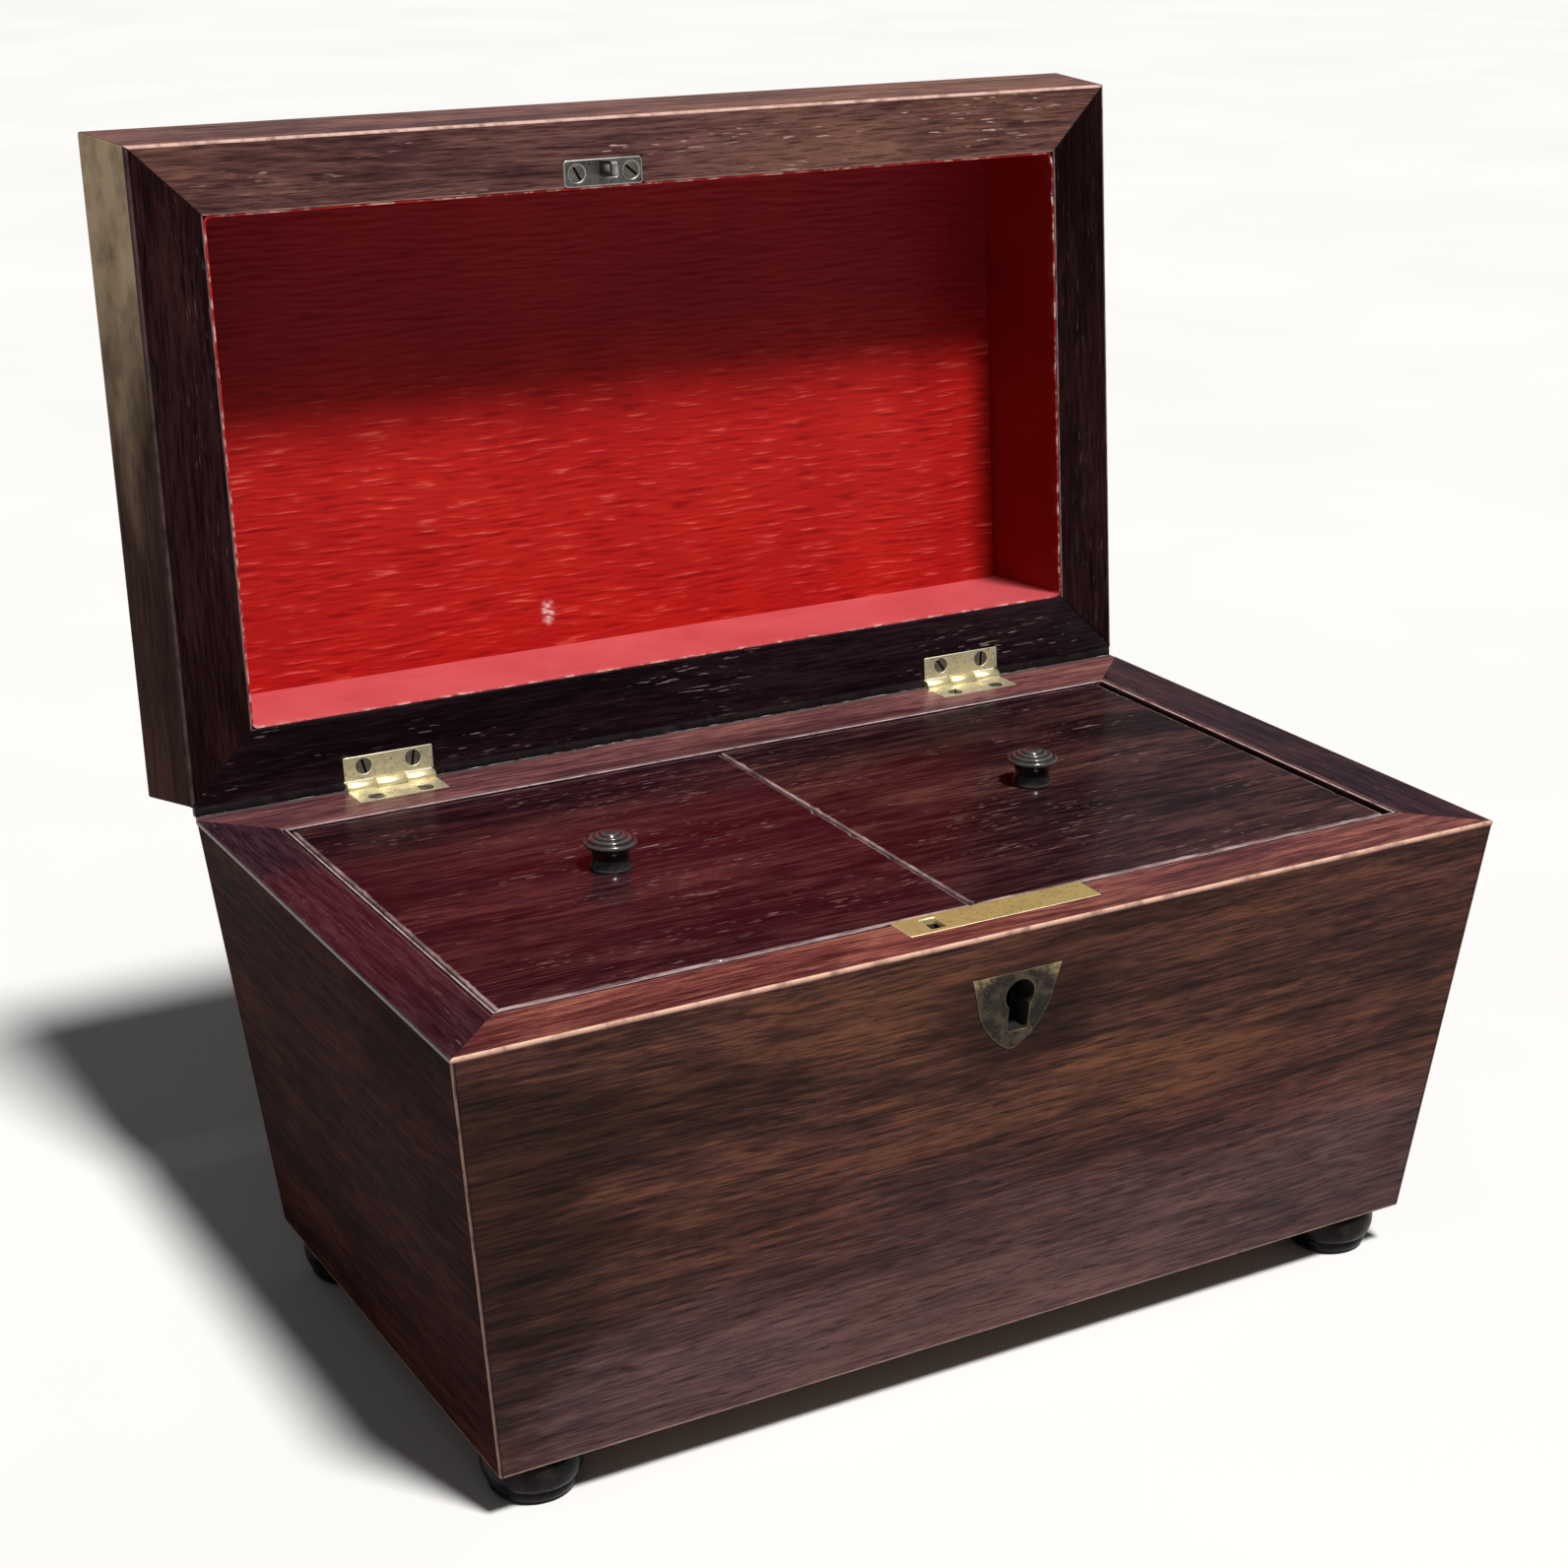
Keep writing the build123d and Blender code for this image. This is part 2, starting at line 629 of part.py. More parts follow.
LID_SCREW_SEATS = [
    lid_seat(x + spread, LID_SCREW_Y)
    for x in HINGES.values()
    for spread in (-HINGE_SCREW_SPREAD, HINGE_SCREW_SPREAD)
]
KEEPER_SCREW_SEATS = [lid_seat(x, sum(KEEPER_Y) / 2) for x in KEEPER_SCREW_X]

for side, x in HINGES.items():
    with BuildPart() as body_leaf:
        add(hinge_leaf(level(RIM_Z - VENEER), x, BODY_LEAF_Y, (0, 2), PIN_RADIUS))
        for seat in BODY_SCREW_SEATS:
            add(screw(seat, slotted=False), mode=Mode.SUBTRACT)
    write(body_leaf.part, f"hinge_{side}_body_leaf")

    with BuildPart() as lid_leaf:
        bore = PIN_RADIUS + PIN_CLEARANCE
        add(hinge_leaf(lid_level(LID_GAP), x, LID_LEAF_Y, (1,), bore))
        for seat in LID_SCREW_SEATS:
            add(screw(seat, slotted=False), mode=Mode.SUBTRACT)
    write(lid_leaf.part, f"hinge_{side}_lid_leaf")

with BuildPart() as hinge_pins:
    for x in HINGES.values():
        add(barrel((x - HINGE_LENGTH / 2, x + HINGE_LENGTH / 2), PIN_RADIUS))
write(hinge_pins.part, "hinge_pins")

for name, seats in {
    "hinge_body_screws": BODY_SCREW_SEATS,
    "hinge_lid_screws": LID_SCREW_SEATS,
    "keeper_screws": KEEPER_SCREW_SEATS,
}.items():
    with BuildPart() as screws:
        for seat in seats:
            add(screw(seat))
    write(screws.part, name)

# ---------------------------------------------------------------- lid

LID_TOP_BOARD_H = LID_HOLLOW + PAPER
LID_TOP_VENEER_H = LID_HEIGHT - LID_TOP_VENEER

lid_board_stages = [
    (VENEER, VENEER - flare(VENEER), LID_WALL),
    (LID_BAND, VENEER - flare(LID_BAND), LID_WALL),
    (LID_TOP_BOARD_H, VENEER + roof(LID_TOP_BOARD_H), LID_WALL),
]
lid_veneer_stages = [(h, -flare(h), VENEER - flare(h)) for h in (VENEER, LID_BAND)]
lid_rim_stages = [(LID_GAP, 0, LID_WALL), (VENEER, -flare(VENEER), LID_WALL)]

for side in SIDES:
    with BuildPart() as lid_board:
        add(mitred_side(side, lid_level, lid_board_stages))
        seats = {"front": KEEPER_SCREW_SEATS, "back": LID_SCREW_SEATS}.get(side, [])
        for seat in seats:
            add(screw(seat, slotted=False), mode=Mode.SUBTRACT)
    write(lid_board.part, f"lid_{side}_board")

    write(mitred_side(side, lid_level, lid_veneer_stages), f"lid_{side}_veneer")

    with BuildPart() as lid_rim:
        add(mitred_side(side, lid_level, lid_rim_stages))
        if side == "front":
            add(block(lid_level(0), KEEPER_X, KEEPER_Y, 2 * VENEER), mode=Mode.SUBTRACT)
        if side == "back":
            for x in HINGES.values():
                leaf_x = (x - HINGE_LENGTH / 2, x + HINGE_LENGTH / 2)
                mortise = block(lid_level(0), leaf_x, (LID_LEAF_Y, DEPTH), 2 * VENEER)
                add(mortise, mode=Mode.SUBTRACT)
            for span in LIP_SPANS:
                lip_top = LID_GAP + LIP_HEIGHT
                with BuildSketch(lid_section(span[0])):
                    Polygon(
                        (DEPTH / 2, LID_GAP),
                        (DEPTH / 2 + flare(VENEER), VENEER),
                        (DEPTH / 2 + flare(lip_top), lip_top),
                        (DEPTH / 2 + LID_LIP, lip_top),
                        (DEPTH / 2 + LID_LIP, LID_GAP),
                    )
                extrude(amount=span[1] - span[0])
    write(lid_rim.part, f"lid_rim_{side}")

roof_inset = roof(LID_TOP_VENEER_H)
roof_stages = [
    (LID_BAND, roof(LID_BAND), VENEER + roof(LID_BAND)),
    (LID_TOP_VENEER_H, roof_inset, VENEER + roof_inset),
]
lid_roof_veneers = [mitred_side(side, lid_level, roof_stages).solid() for side in SIDES]
write(Compound(children=lid_roof_veneers), "lid_roof_veneers")

write(
    tapered_slab(
        lid_level,
        [
            (LID_TOP_BOARD_H, VENEER + roof(LID_TOP_BOARD_H)),
            (LID_TOP_VENEER_H, VENEER + roof(LID_TOP_VENEER_H)),
        ],
    ),
    "lid_top_board",
)
write(
    tapered_slab(
        lid_level, [(LID_TOP_VENEER_H, roof(LID_TOP_VENEER_H)), (LID_HEIGHT, LID_TOP_INSET)]
    ),
    "lid_top_veneer",
)

LINING_X = (LID_WALL - WIDTH / 2, WIDTH / 2 - LID_WALL)
LINING_Y = (LID_WALL - DEPTH / 2, DEPTH / 2 - LID_WALL)

write(block(lid_level(LID_HOLLOW), LINING_X, LINING_Y, PAPER), "lid_lining_panel")

with BuildPart() as lid_lining_sides:
    add(block(lid_level(LID_GAP), LINING_X, LINING_Y, LID_HOLLOW - LID_GAP))
    inside_x = (LINING_X[0] + PAPER, LINING_X[1] - PAPER)
    inside_y = (LINING_Y[0] + PAPER, LINING_Y[1] - PAPER)
    add(block(lid_level(0), inside_x, inside_y, LID_HOLLOW), mode=Mode.SUBTRACT)
write(lid_lining_sides.part, "lid_lining_sides")

with BuildPart() as keeper:
    add(block(lid_level(LID_GAP), KEEPER_X, KEEPER_Y, VENEER - LID_GAP))
    add(block(lid_level(-STAPLE_LENGTH), STAPLE_X, STAPLE_Y, STAPLE_LENGTH + VENEER))
    staple_y = sum(STAPLE_Y) / 2
    hole_y = (staple_y - STAPLE_HOLE_HALF, staple_y + STAPLE_HOLE_HALF)
    hole_x = (STAPLE_X[0] - 1, STAPLE_X[1] + 1)
    hole = block(
        lid_level(STAPLE_HOLE_H[0]), hole_x, hole_y, STAPLE_HOLE_H[1] - STAPLE_HOLE_H[0]
    )
    add(hole, mode=Mode.SUBTRACT)
    for seat in KEEPER_SCREW_SEATS:
        add(screw(seat, slotted=False), mode=Mode.SUBTRACT)
write(keeper.part, "keeper")
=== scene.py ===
"""Looks for the rosewood tea caddy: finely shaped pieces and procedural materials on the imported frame."""

from math import asin, atan2, cos, hypot, pi, radians, sin

import bmesh
import bpy
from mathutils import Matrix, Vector, noise
from mathutils.geometry import tessellate_polygon

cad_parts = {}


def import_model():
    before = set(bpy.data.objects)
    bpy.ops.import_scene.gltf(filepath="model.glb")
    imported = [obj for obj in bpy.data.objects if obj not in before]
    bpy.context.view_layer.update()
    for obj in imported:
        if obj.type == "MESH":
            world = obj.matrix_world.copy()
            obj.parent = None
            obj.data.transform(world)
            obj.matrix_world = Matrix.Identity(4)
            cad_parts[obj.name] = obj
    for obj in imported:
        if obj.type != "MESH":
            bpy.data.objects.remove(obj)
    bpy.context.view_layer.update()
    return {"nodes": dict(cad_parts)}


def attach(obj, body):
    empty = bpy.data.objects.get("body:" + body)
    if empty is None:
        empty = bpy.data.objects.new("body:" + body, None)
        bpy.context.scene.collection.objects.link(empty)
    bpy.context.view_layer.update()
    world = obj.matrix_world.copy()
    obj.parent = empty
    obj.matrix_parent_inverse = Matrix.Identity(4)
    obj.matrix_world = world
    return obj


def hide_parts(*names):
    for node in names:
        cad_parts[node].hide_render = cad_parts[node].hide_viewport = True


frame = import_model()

scene = bpy.context.scene
nodes = frame["nodes"]

# ---------------------------------------------------------------- sizes, in millimetres

MM = 0.001
WIDTH, DEPTH = 240.0, 138.6
RIM_Z, FOOT_HEIGHT = 104.0, 10.0
LEAN, BODY_HEIGHT = 10.0, 94.0
RIM_WIDTH, BEAD_WIDTH = 14.0, 1.2
VENEER = 1.0
LEDGE_Z = 97.7
HINGE_Y = 71.4
HINGE_X = (-75.0, 75.0)
HINGE_LENGTH, BARREL = 21.0, 1.5
BODY_LEAF_Y, BODY_SCREW_Y = 62.2, 65.0
LID_LEAF_Y, LID_SCREW_Y = 64.2, 66.6
SCREW_SPREAD = 5.8
LOCK_PLATE = (-21.6, 23.2, -62.3, -54.1)
KEEPER = (-23.6, -4.4, -60.4, -54.4)
KEYHOLE_X, SHIELD_X = 0.3, -0.7
SEAT_GAP = 0.05
OPEN = radians(94.5)
LID_WALL, LID_BAND, LID_HOLLOW, LID_HEIGHT = 14.9, 24.0, 30.5, 36.8
LID_TOP_INSET, LID_TOP_VENEER = 17.6, 0.8
FACE_ANGLE = atan2(LEAN, BODY_HEIGHT)
SIDES = ("front", "right", "back", "left")
LONG = ("front", "back")


def world(x, y, z):
    """A point of the body, from millimetres."""
    return Vector((x * MM, y * MM, z * MM))


def lid(x, y, h):
    """A point given in the closed lid's coordinates, where the open lid has it."""
    dy = y - HINGE_Y
    return world(x, HINGE_Y + dy * cos(OPEN) + h * sin(OPEN), RIM_Z - dy * sin(OPEN) + h * cos(OPEN))


def front_face(x, v, out):
    """A point on the leaning front, v down from the rim and out from the face."""
    y = -DEPTH / 2 + v * sin(FACE_ANGLE) - out * cos(FACE_ANGLE)
    return world(x, y, RIM_Z - v * cos(FACE_ANGLE) - out * sin(FACE_ANGLE))


def on_rim(x, y, h):
    """A point h above the body's rim."""
    return world(x, y, RIM_Z + h)


def on_lid_edge(x, y, h):
    """A point h out from the lid's rim."""
    return lid(x, y, -h)


def lean(z):
    """How far the body's sides have leaned in at height z."""
    return LEAN * (RIM_Z - z) / BODY_HEIGHT


def flare(h):
    """How far the lid's walls have spread out at height h."""
    return LEAN * h / BODY_HEIGHT


def roof(h):
    """How far the lid's roof has sloped in at height h."""
    eaves = -flare(LID_BAND)
    return eaves + (LID_TOP_INSET - eaves) * (h - LID_BAND) / (LID_HEIGHT - LID_BAND)


def rough_noise(x, y, seed, scale):
    """Smooth noise from -1 to 1 over a plane in millimetres."""
    return noise.noise(Vector((x * scale, y * scale, seed * 7.31)))


# ---------------------------------------------------------------- camera, light and studio

camera_data = bpy.data.cameras.new("camera")
camera = bpy.data.objects.new("camera", camera_data)
scene.collection.objects.link(camera)
camera.location = (-0.28794, -0.49263, 0.31488)
camera.rotation_euler = (radians(70.51), radians(0.02), radians(-29.95))
camera_data.sensor_width = 36
camera_data.lens = 65.355
camera_data.shift_x = -0.0279
camera_data.shift_y = -0.00185
camera_data.clip_start = 0.01
scene.camera = camera
scene.view_settings.view_transform = "Standard"

key_data = bpy.data.lights.new("key", "SUN")
key_data.energy = 5.4
key_data.angle = radians(9)
key_data.color = (1.0, 0.985, 0.96)
key = bpy.data.objects.new("key", key_data)
scene.collection.objects.link(key)
KEY_RISE, KEY_TURN = radians(64), radians(9)
towards_key = Vector((cos(KEY_RISE) * sin(KEY_TURN), -cos(KEY_RISE) * cos(KEY_TURN), sin(KEY_RISE)))
key.rotation_euler = towards_key.to_track_quat("Z", "Y").to_euler()

# The studio lights softly from all round, and stands as a plain white wall behind the floor.
studio = bpy.data.worlds.new("studio")
scene.world = studio
studio.use_nodes = True
studio_nodes, studio_links = studio.node_tree.nodes, studio.node_tree.links
fill = studio_nodes["Background"]
fill.inputs["Color"].default_value = (1, 1, 1, 1)
fill.inputs["Strength"].default_value = 0.11
wall = studio_nodes.new("ShaderNodeBackground")
wall.inputs["Color"].default_value = (0.97, 0.97, 0.96, 1)
seen = studio_nodes.new("ShaderNodeLightPath")
either = studio_nodes.new("ShaderNodeMixShader")
studio_links.new(seen.outputs["Is Camera Ray"], either.inputs[0])
studio_links.new(fill.outputs[0], either.inputs[1])
studio_links.new(wall.outputs[0], either.inputs[2])
studio_links.new(either.outputs[0], studio_nodes["World Output"].inputs["Surface"])

# ---------------------------------------------------------------- material building

LID_TURN = (OPEN, 0, 0)
NO_TURN = (0, 0, 0)


def dim(colour, share):
    """A darker shade of a colour."""
    return tuple(share * c for c in colour)


class Shader:
    """A node material under one Principled shader, with short calls for the usual nodes."""

    def __init__(self, name):
        self.material = bpy.data.materials.new(name)
        self.material.use_nodes = True
        self.tree = self.material.node_tree
        self.bsdf = self.tree.nodes["Principled BSDF"]

    def node(self, kind, inputs, **settings):
        made = self.tree.nodes.new("ShaderNode" + kind)
        for key, value in settings.items():
            setattr(made, key, value)
        for key, value in inputs.items():
            self.put(made.inputs[key], value)
        return made

    def put(self, socket, value):
        if isinstance(value, bpy.types.NodeSocket):
            self.tree.links.new(value, socket)
        elif hasattr(value, "__len__") and len(value) == 3 and socket.type == "RGBA":
            socket.default_value = (*value, 1)
        else:
            socket.default_value = value

    def set(self, **sockets):
        for key, value in sockets.items():
            self.put(self.bsdf.inputs[key.replace("_", " ")], value)

    def coords(self, scale=(1, 1, 1), turn=NO_TURN, shift=(0, 0, 0)):
        """The row frame's coordinates in millimetres, turned first and scaled after."""
        out = self.node("TexCoord", {}).outputs["Object"]
        if any(turn):
            out = self.node("Mapping", {"Vector": out, "Rotation": turn}).outputs[0]
        scale = tuple(1000 * s for s in scale)
        return self.node("Mapping", {"Vector": out, "Scale": scale, "Location": shift}).outputs[0]

    def closed_lid_y(self):
        """The Y that a point of the open lid would have with the lid closed."""
        turned = self.split(self.coords((1, 1, 1), LID_TURN))["Y"]
        return self.plus(turned, HINGE_Y - HINGE_Y * cos(OPEN) + RIM_Z * sin(OPEN))

    def noise(self, at, scale, detail=3.0, roughness=0.55, distortion=0.0):
        inputs = {"Vector": at, "Scale": scale, "Detail": detail, "Roughness": roughness}
        return self.node("TexNoise", {**inputs, "Distortion": distortion}).outputs["Fac"]

    def math(self, operation, a, b, clamp=False):
        return self.node("Math", {0: a, 1: b}, operation=operation, use_clamp=clamp).outputs[0]

    def plus(self, a, b, clamp=False):
        return self.math("ADD", a, b, clamp)

    def minus(self, a, b):
        return self.math("SUBTRACT", a, b)

    def times(self, a, b, clamp=False):
        return self.math("MULTIPLY", a, b, clamp)

    def vector(self, operation, a, b):
        return self.node("VectorMath", {0: a, 1: b}, operation=operation).outputs[0]

    def length(self, at):
        return self.node("VectorMath", {0: at}, operation="LENGTH").outputs["Value"]

    def fade(self, value, low, high, out_low=0.0, out_high=1.0):
        """A smooth step between two values of a number."""
        inputs = {"Value": value, "From Min": low, "From Max": high, "To Min": out_low, "To Max": out_high}
        return self.node("MapRange", inputs, interpolation_type="SMOOTHSTEP").outputs[0]

    def mix(self, share, a, b, blend="MIX"):
        made = self.node("Mix", {}, data_type="RGBA", blend_type=blend)
        for index, value in ((0, share), (6, a), (7, b)):
            self.put(made.inputs[index], value)
        return made.outputs[2]

    def ramp(self, value, *stops):
        made = self.node("ValToRGB", {"Fac": value})
        band = made.color_ramp
        while len(band.elements) < len(stops):
            band.elements.new(0.5)
        for element, (at, colour) in zip(band.elements, stops):
            element.position = at
            element.color = (*colour, 1)
        return made.outputs[0]

    def wear(self, name="edge"):
        return self.node("Attribute", {}, attribute_name=name).outputs["Fac"]

    def bump(self, height, strength, distance, normal=None):
        inputs = {"Height": height, "Strength": strength, "Distance": distance}
        if normal is not None:
            inputs["Normal"] = normal
        return self.node("Bump", inputs).outputs[0]

    def split(self, at):
        return self.node("SeparateXYZ", {"Vector": at}).outputs


def rosewood(
    name, along, seed, tones, on_lid=False, contrast=1.0, pores=0.5, pore_colour=(0.36, 0.24, 0.21),
    worn=(0.62, 0.36, 0.26), rough=0.25, coat=0.3, specular=0.25, ior=1.3, smudge=0.5, cool=0.35, vessels=0.6,
    sheen_patch=None, stains=(), low_tint_and_sheen=None,
):
    """Figured rosewood in dark, middle and warm tones, its grain along X or Y of its own body."""
    s = Shader(name)
    dark, mid, warm = tones
    turn = LID_TURN if on_lid else NO_TURN
    run = 0 if along == "x" else 1

    def grain(run_scale, cross_scale, shift=0.0):
        scale = [cross_scale] * 3
        scale[run] = run_scale
        return s.coords(scale, turn, (seed * 13.7 + shift, seed * 5.9 - shift, seed * 3.3))

    def figure(run_scale, cross_scale, shift, bent, detail, roughness=0.55):
        return s.noise(s.vector("ADD", grain(run_scale, cross_scale, shift), bent), 1.0, detail, roughness)

    # Slow waves bend the figure, which is made of bands, streaks and fine lines.
    wave = s.noise(grain(0.007, 0.02), 1.0, 2.0)
    across = {"X": 0.0 if run == 0 else wave, "Y": wave if run == 0 else 0.0, "Z": wave}
    bend = s.node("CombineXYZ", across).outputs[0]
    wide = s.vector("MULTIPLY", bend, (1.2, 1.2, 1.2))
    tight = s.vector("MULTIPLY", bend, (7.0, 7.0, 7.0))
    bands = figure(0.010, 0.055, 31.0, wide, 3.0)
    streaks = figure(0.030, 0.50, 0.0, tight, 4.0, 0.65)
    lines = figure(0.09, 1.7, 19.0, tight, 4.0, 0.65)
    fibre = figure(0.16, 4.5, 11.0, tight, 3.0, 0.6)
    cloud = s.noise(grain(0.012, 0.03, 57.0), 1.0, 4.0, 0.6)
    tone = s.plus(s.plus(s.times(bands, 0.28), s.times(streaks, 0.30)), s.times(lines, 0.42))
    tone = s.fade(tone, 0.5 - 0.12 / contrast, 0.5 + 0.12 / contrast)
    colour = s.ramp(tone, (0.0, dark), (0.5, mid), (1.0, warm))
    colour = s.mix(s.times(s.fade(fibre, 0.5, 0.72), 0.45), colour, dim(mid, 0.6))
    chill = s.noise(grain(0.008, 0.022, 91.0), 1.0, 2.0)
    plum = s.mix(1.0, colour, (0.70, 0.62, 0.98), "MULTIPLY")
    colour = s.mix(s.times(s.fade(chill, 0.42, 0.62), cool), colour, plum)
    if low_tint_and_sheen:
        # The lower part of the face turns a dusty purple brown: partly the wood's own colour, partly a painted
        # sheen.
        high, low, tint = low_tint_and_sheen
        up = s.plus(s.split(s.coords())["Z"], s.times(s.minus(cloud, 0.5), 60.0))
        colour = s.mix(s.times(s.fade(up, high, low), 0.62), colour, s.mix(tone, dim(tint, 0.35), tint))
    # Short dark vessel lines, then the broad smudges of old polish.
    dashes = s.fade(figure(0.16, 2.6, 77.0, tight, 2.0, 0.5), 0.55, 0.66)
    colour = s.mix(s.times(dashes, vessels), colour, dim(dark, 0.4))
    colour = s.mix(s.times(s.fade(cloud, 0.52, 0.68), smudge), colour, dim(dark, 0.7))
    if stains:
        ragged = s.times(s.minus(s.noise(grain(0.03, 0.12, 171.0), 1.0, 4.0, 0.65), 0.5), 2.6)
        at = s.coords()
        for x, z, half_x, half_z, amount in stains:
            place = s.vector("MULTIPLY", at, (1 / half_x, 0, 1 / half_z))
            reach = s.length(s.vector("SUBTRACT", place, (x / half_x, 0, z / half_z)))
            cover = s.times(s.fade(s.plus(reach, ragged), 1.25, 0.45), amount)
            colour = s.mix(cover, colour, s.mix(tone, dim(dark, 0.35), dim(mid, 0.5)))
    if sheen_patch:
        # Painted sheen: a pale khaki tan over one end of the face, in blotches.
        tint, low, high = sheen_patch
        ragged_edge = s.plus(s.closed_lid_y(), s.times(s.minus(cloud, 0.5), 160.0))
        blotches = s.fade(s.noise(s.coords((1, 1, 1), turn), 0.10, 4.0, 0.6), 0.34, 0.58, 0.62, 1.0)
        sheen_cover = s.times(s.fade(ragged_edge, low, high), blotches)
        colour = s.mix(sheen_cover, colour, s.mix(lines, dim(tint, 0.6), tint))
    # Open pores filled with pale wax, in groups.
    pit = figure(0.22, 2.3, 101.0, tight, 1.0, 0.4)
    group = s.noise(grain(0.025, 0.12, 131.0), 1.0, 2.0)
    open_pores = s.times(s.fade(pit, 0.67, 0.73), s.fade(group, 0.49, 0.61))
    colour = s.mix(s.times(open_pores, pores), colour, pore_colour)
    # Pale worn arrises, broken up along their length; on the bead's crown the pale line is partly a painted
    # highlight.
    rub = s.noise(s.coords((0.22, 0.22, 0.22), turn, (seed, 0, 0)), 1.0, 3.0, 0.6)
    edge = s.times(s.wear(), s.fade(rub, 0.3, 0.55, 0.45, 1.0), clamp=True)
    colour = s.mix(edge, colour, s.mix(rub, dim(worn, 0.55), worn))
    colour = s.mix(s.wear("dark_joints_and_slot_floors"), colour, (0.006, 0.003, 0.003))
    gloss = s.plus(s.times(cloud, 0.2), s.times(open_pores, 0.3))
    ripple = s.noise(grain(0.02, 0.06, 151.0), 1.0, 1.0)
    relief = s.minus(s.minus(s.times(fibre, 0.35), open_pores), s.times(dashes, 0.5))
    normal = s.bump(relief, 0.3, 0.00005, s.bump(ripple, 0.3, 0.0004))
    s.set(Base_Color=colour, Roughness=s.plus(gloss, rough - 0.1, clamp=True), Normal=normal)
    s.set(Coat_Weight=coat, Coat_Roughness=0.07, Specular_IOR_Level=specular, IOR=ior)
    return s.material


PEACH = (0.68, 0.42, 0.31)
DUSTY = (0.50, 0.36, 0.35)
MAROON = ((0.005, 0.0017, 0.0026), (0.021, 0.0058, 0.0092), (0.068, 0.021, 0.019))
BAND_END = ((0.013, 0.005, 0.004), (0.036, 0.013, 0.008), (0.075, 0.030, 0.017))
MATT = dict(coat=0.0, specular=0.4)
DULL = dict(coat=0.0, specular=0.3)
# Stains on the front: middle x and z, half width and height, and strength. The first is round the keyhole.
FRONT_STAINS = (
    (-1.0, 87.0, 24.0, 15.0, 0.9), (-76.0, 84.0, 34.0, 8.0, 0.6), (-109.0, 60.0, 25.0, 52.0, 0.85),
    (-88.0, 44.0, 22.0, 10.0, 0.35), (30.0, 100.0, 40.0, 4.0, 0.4), (108.0, 60.0, 12.0, 40.0, 0.3),
)

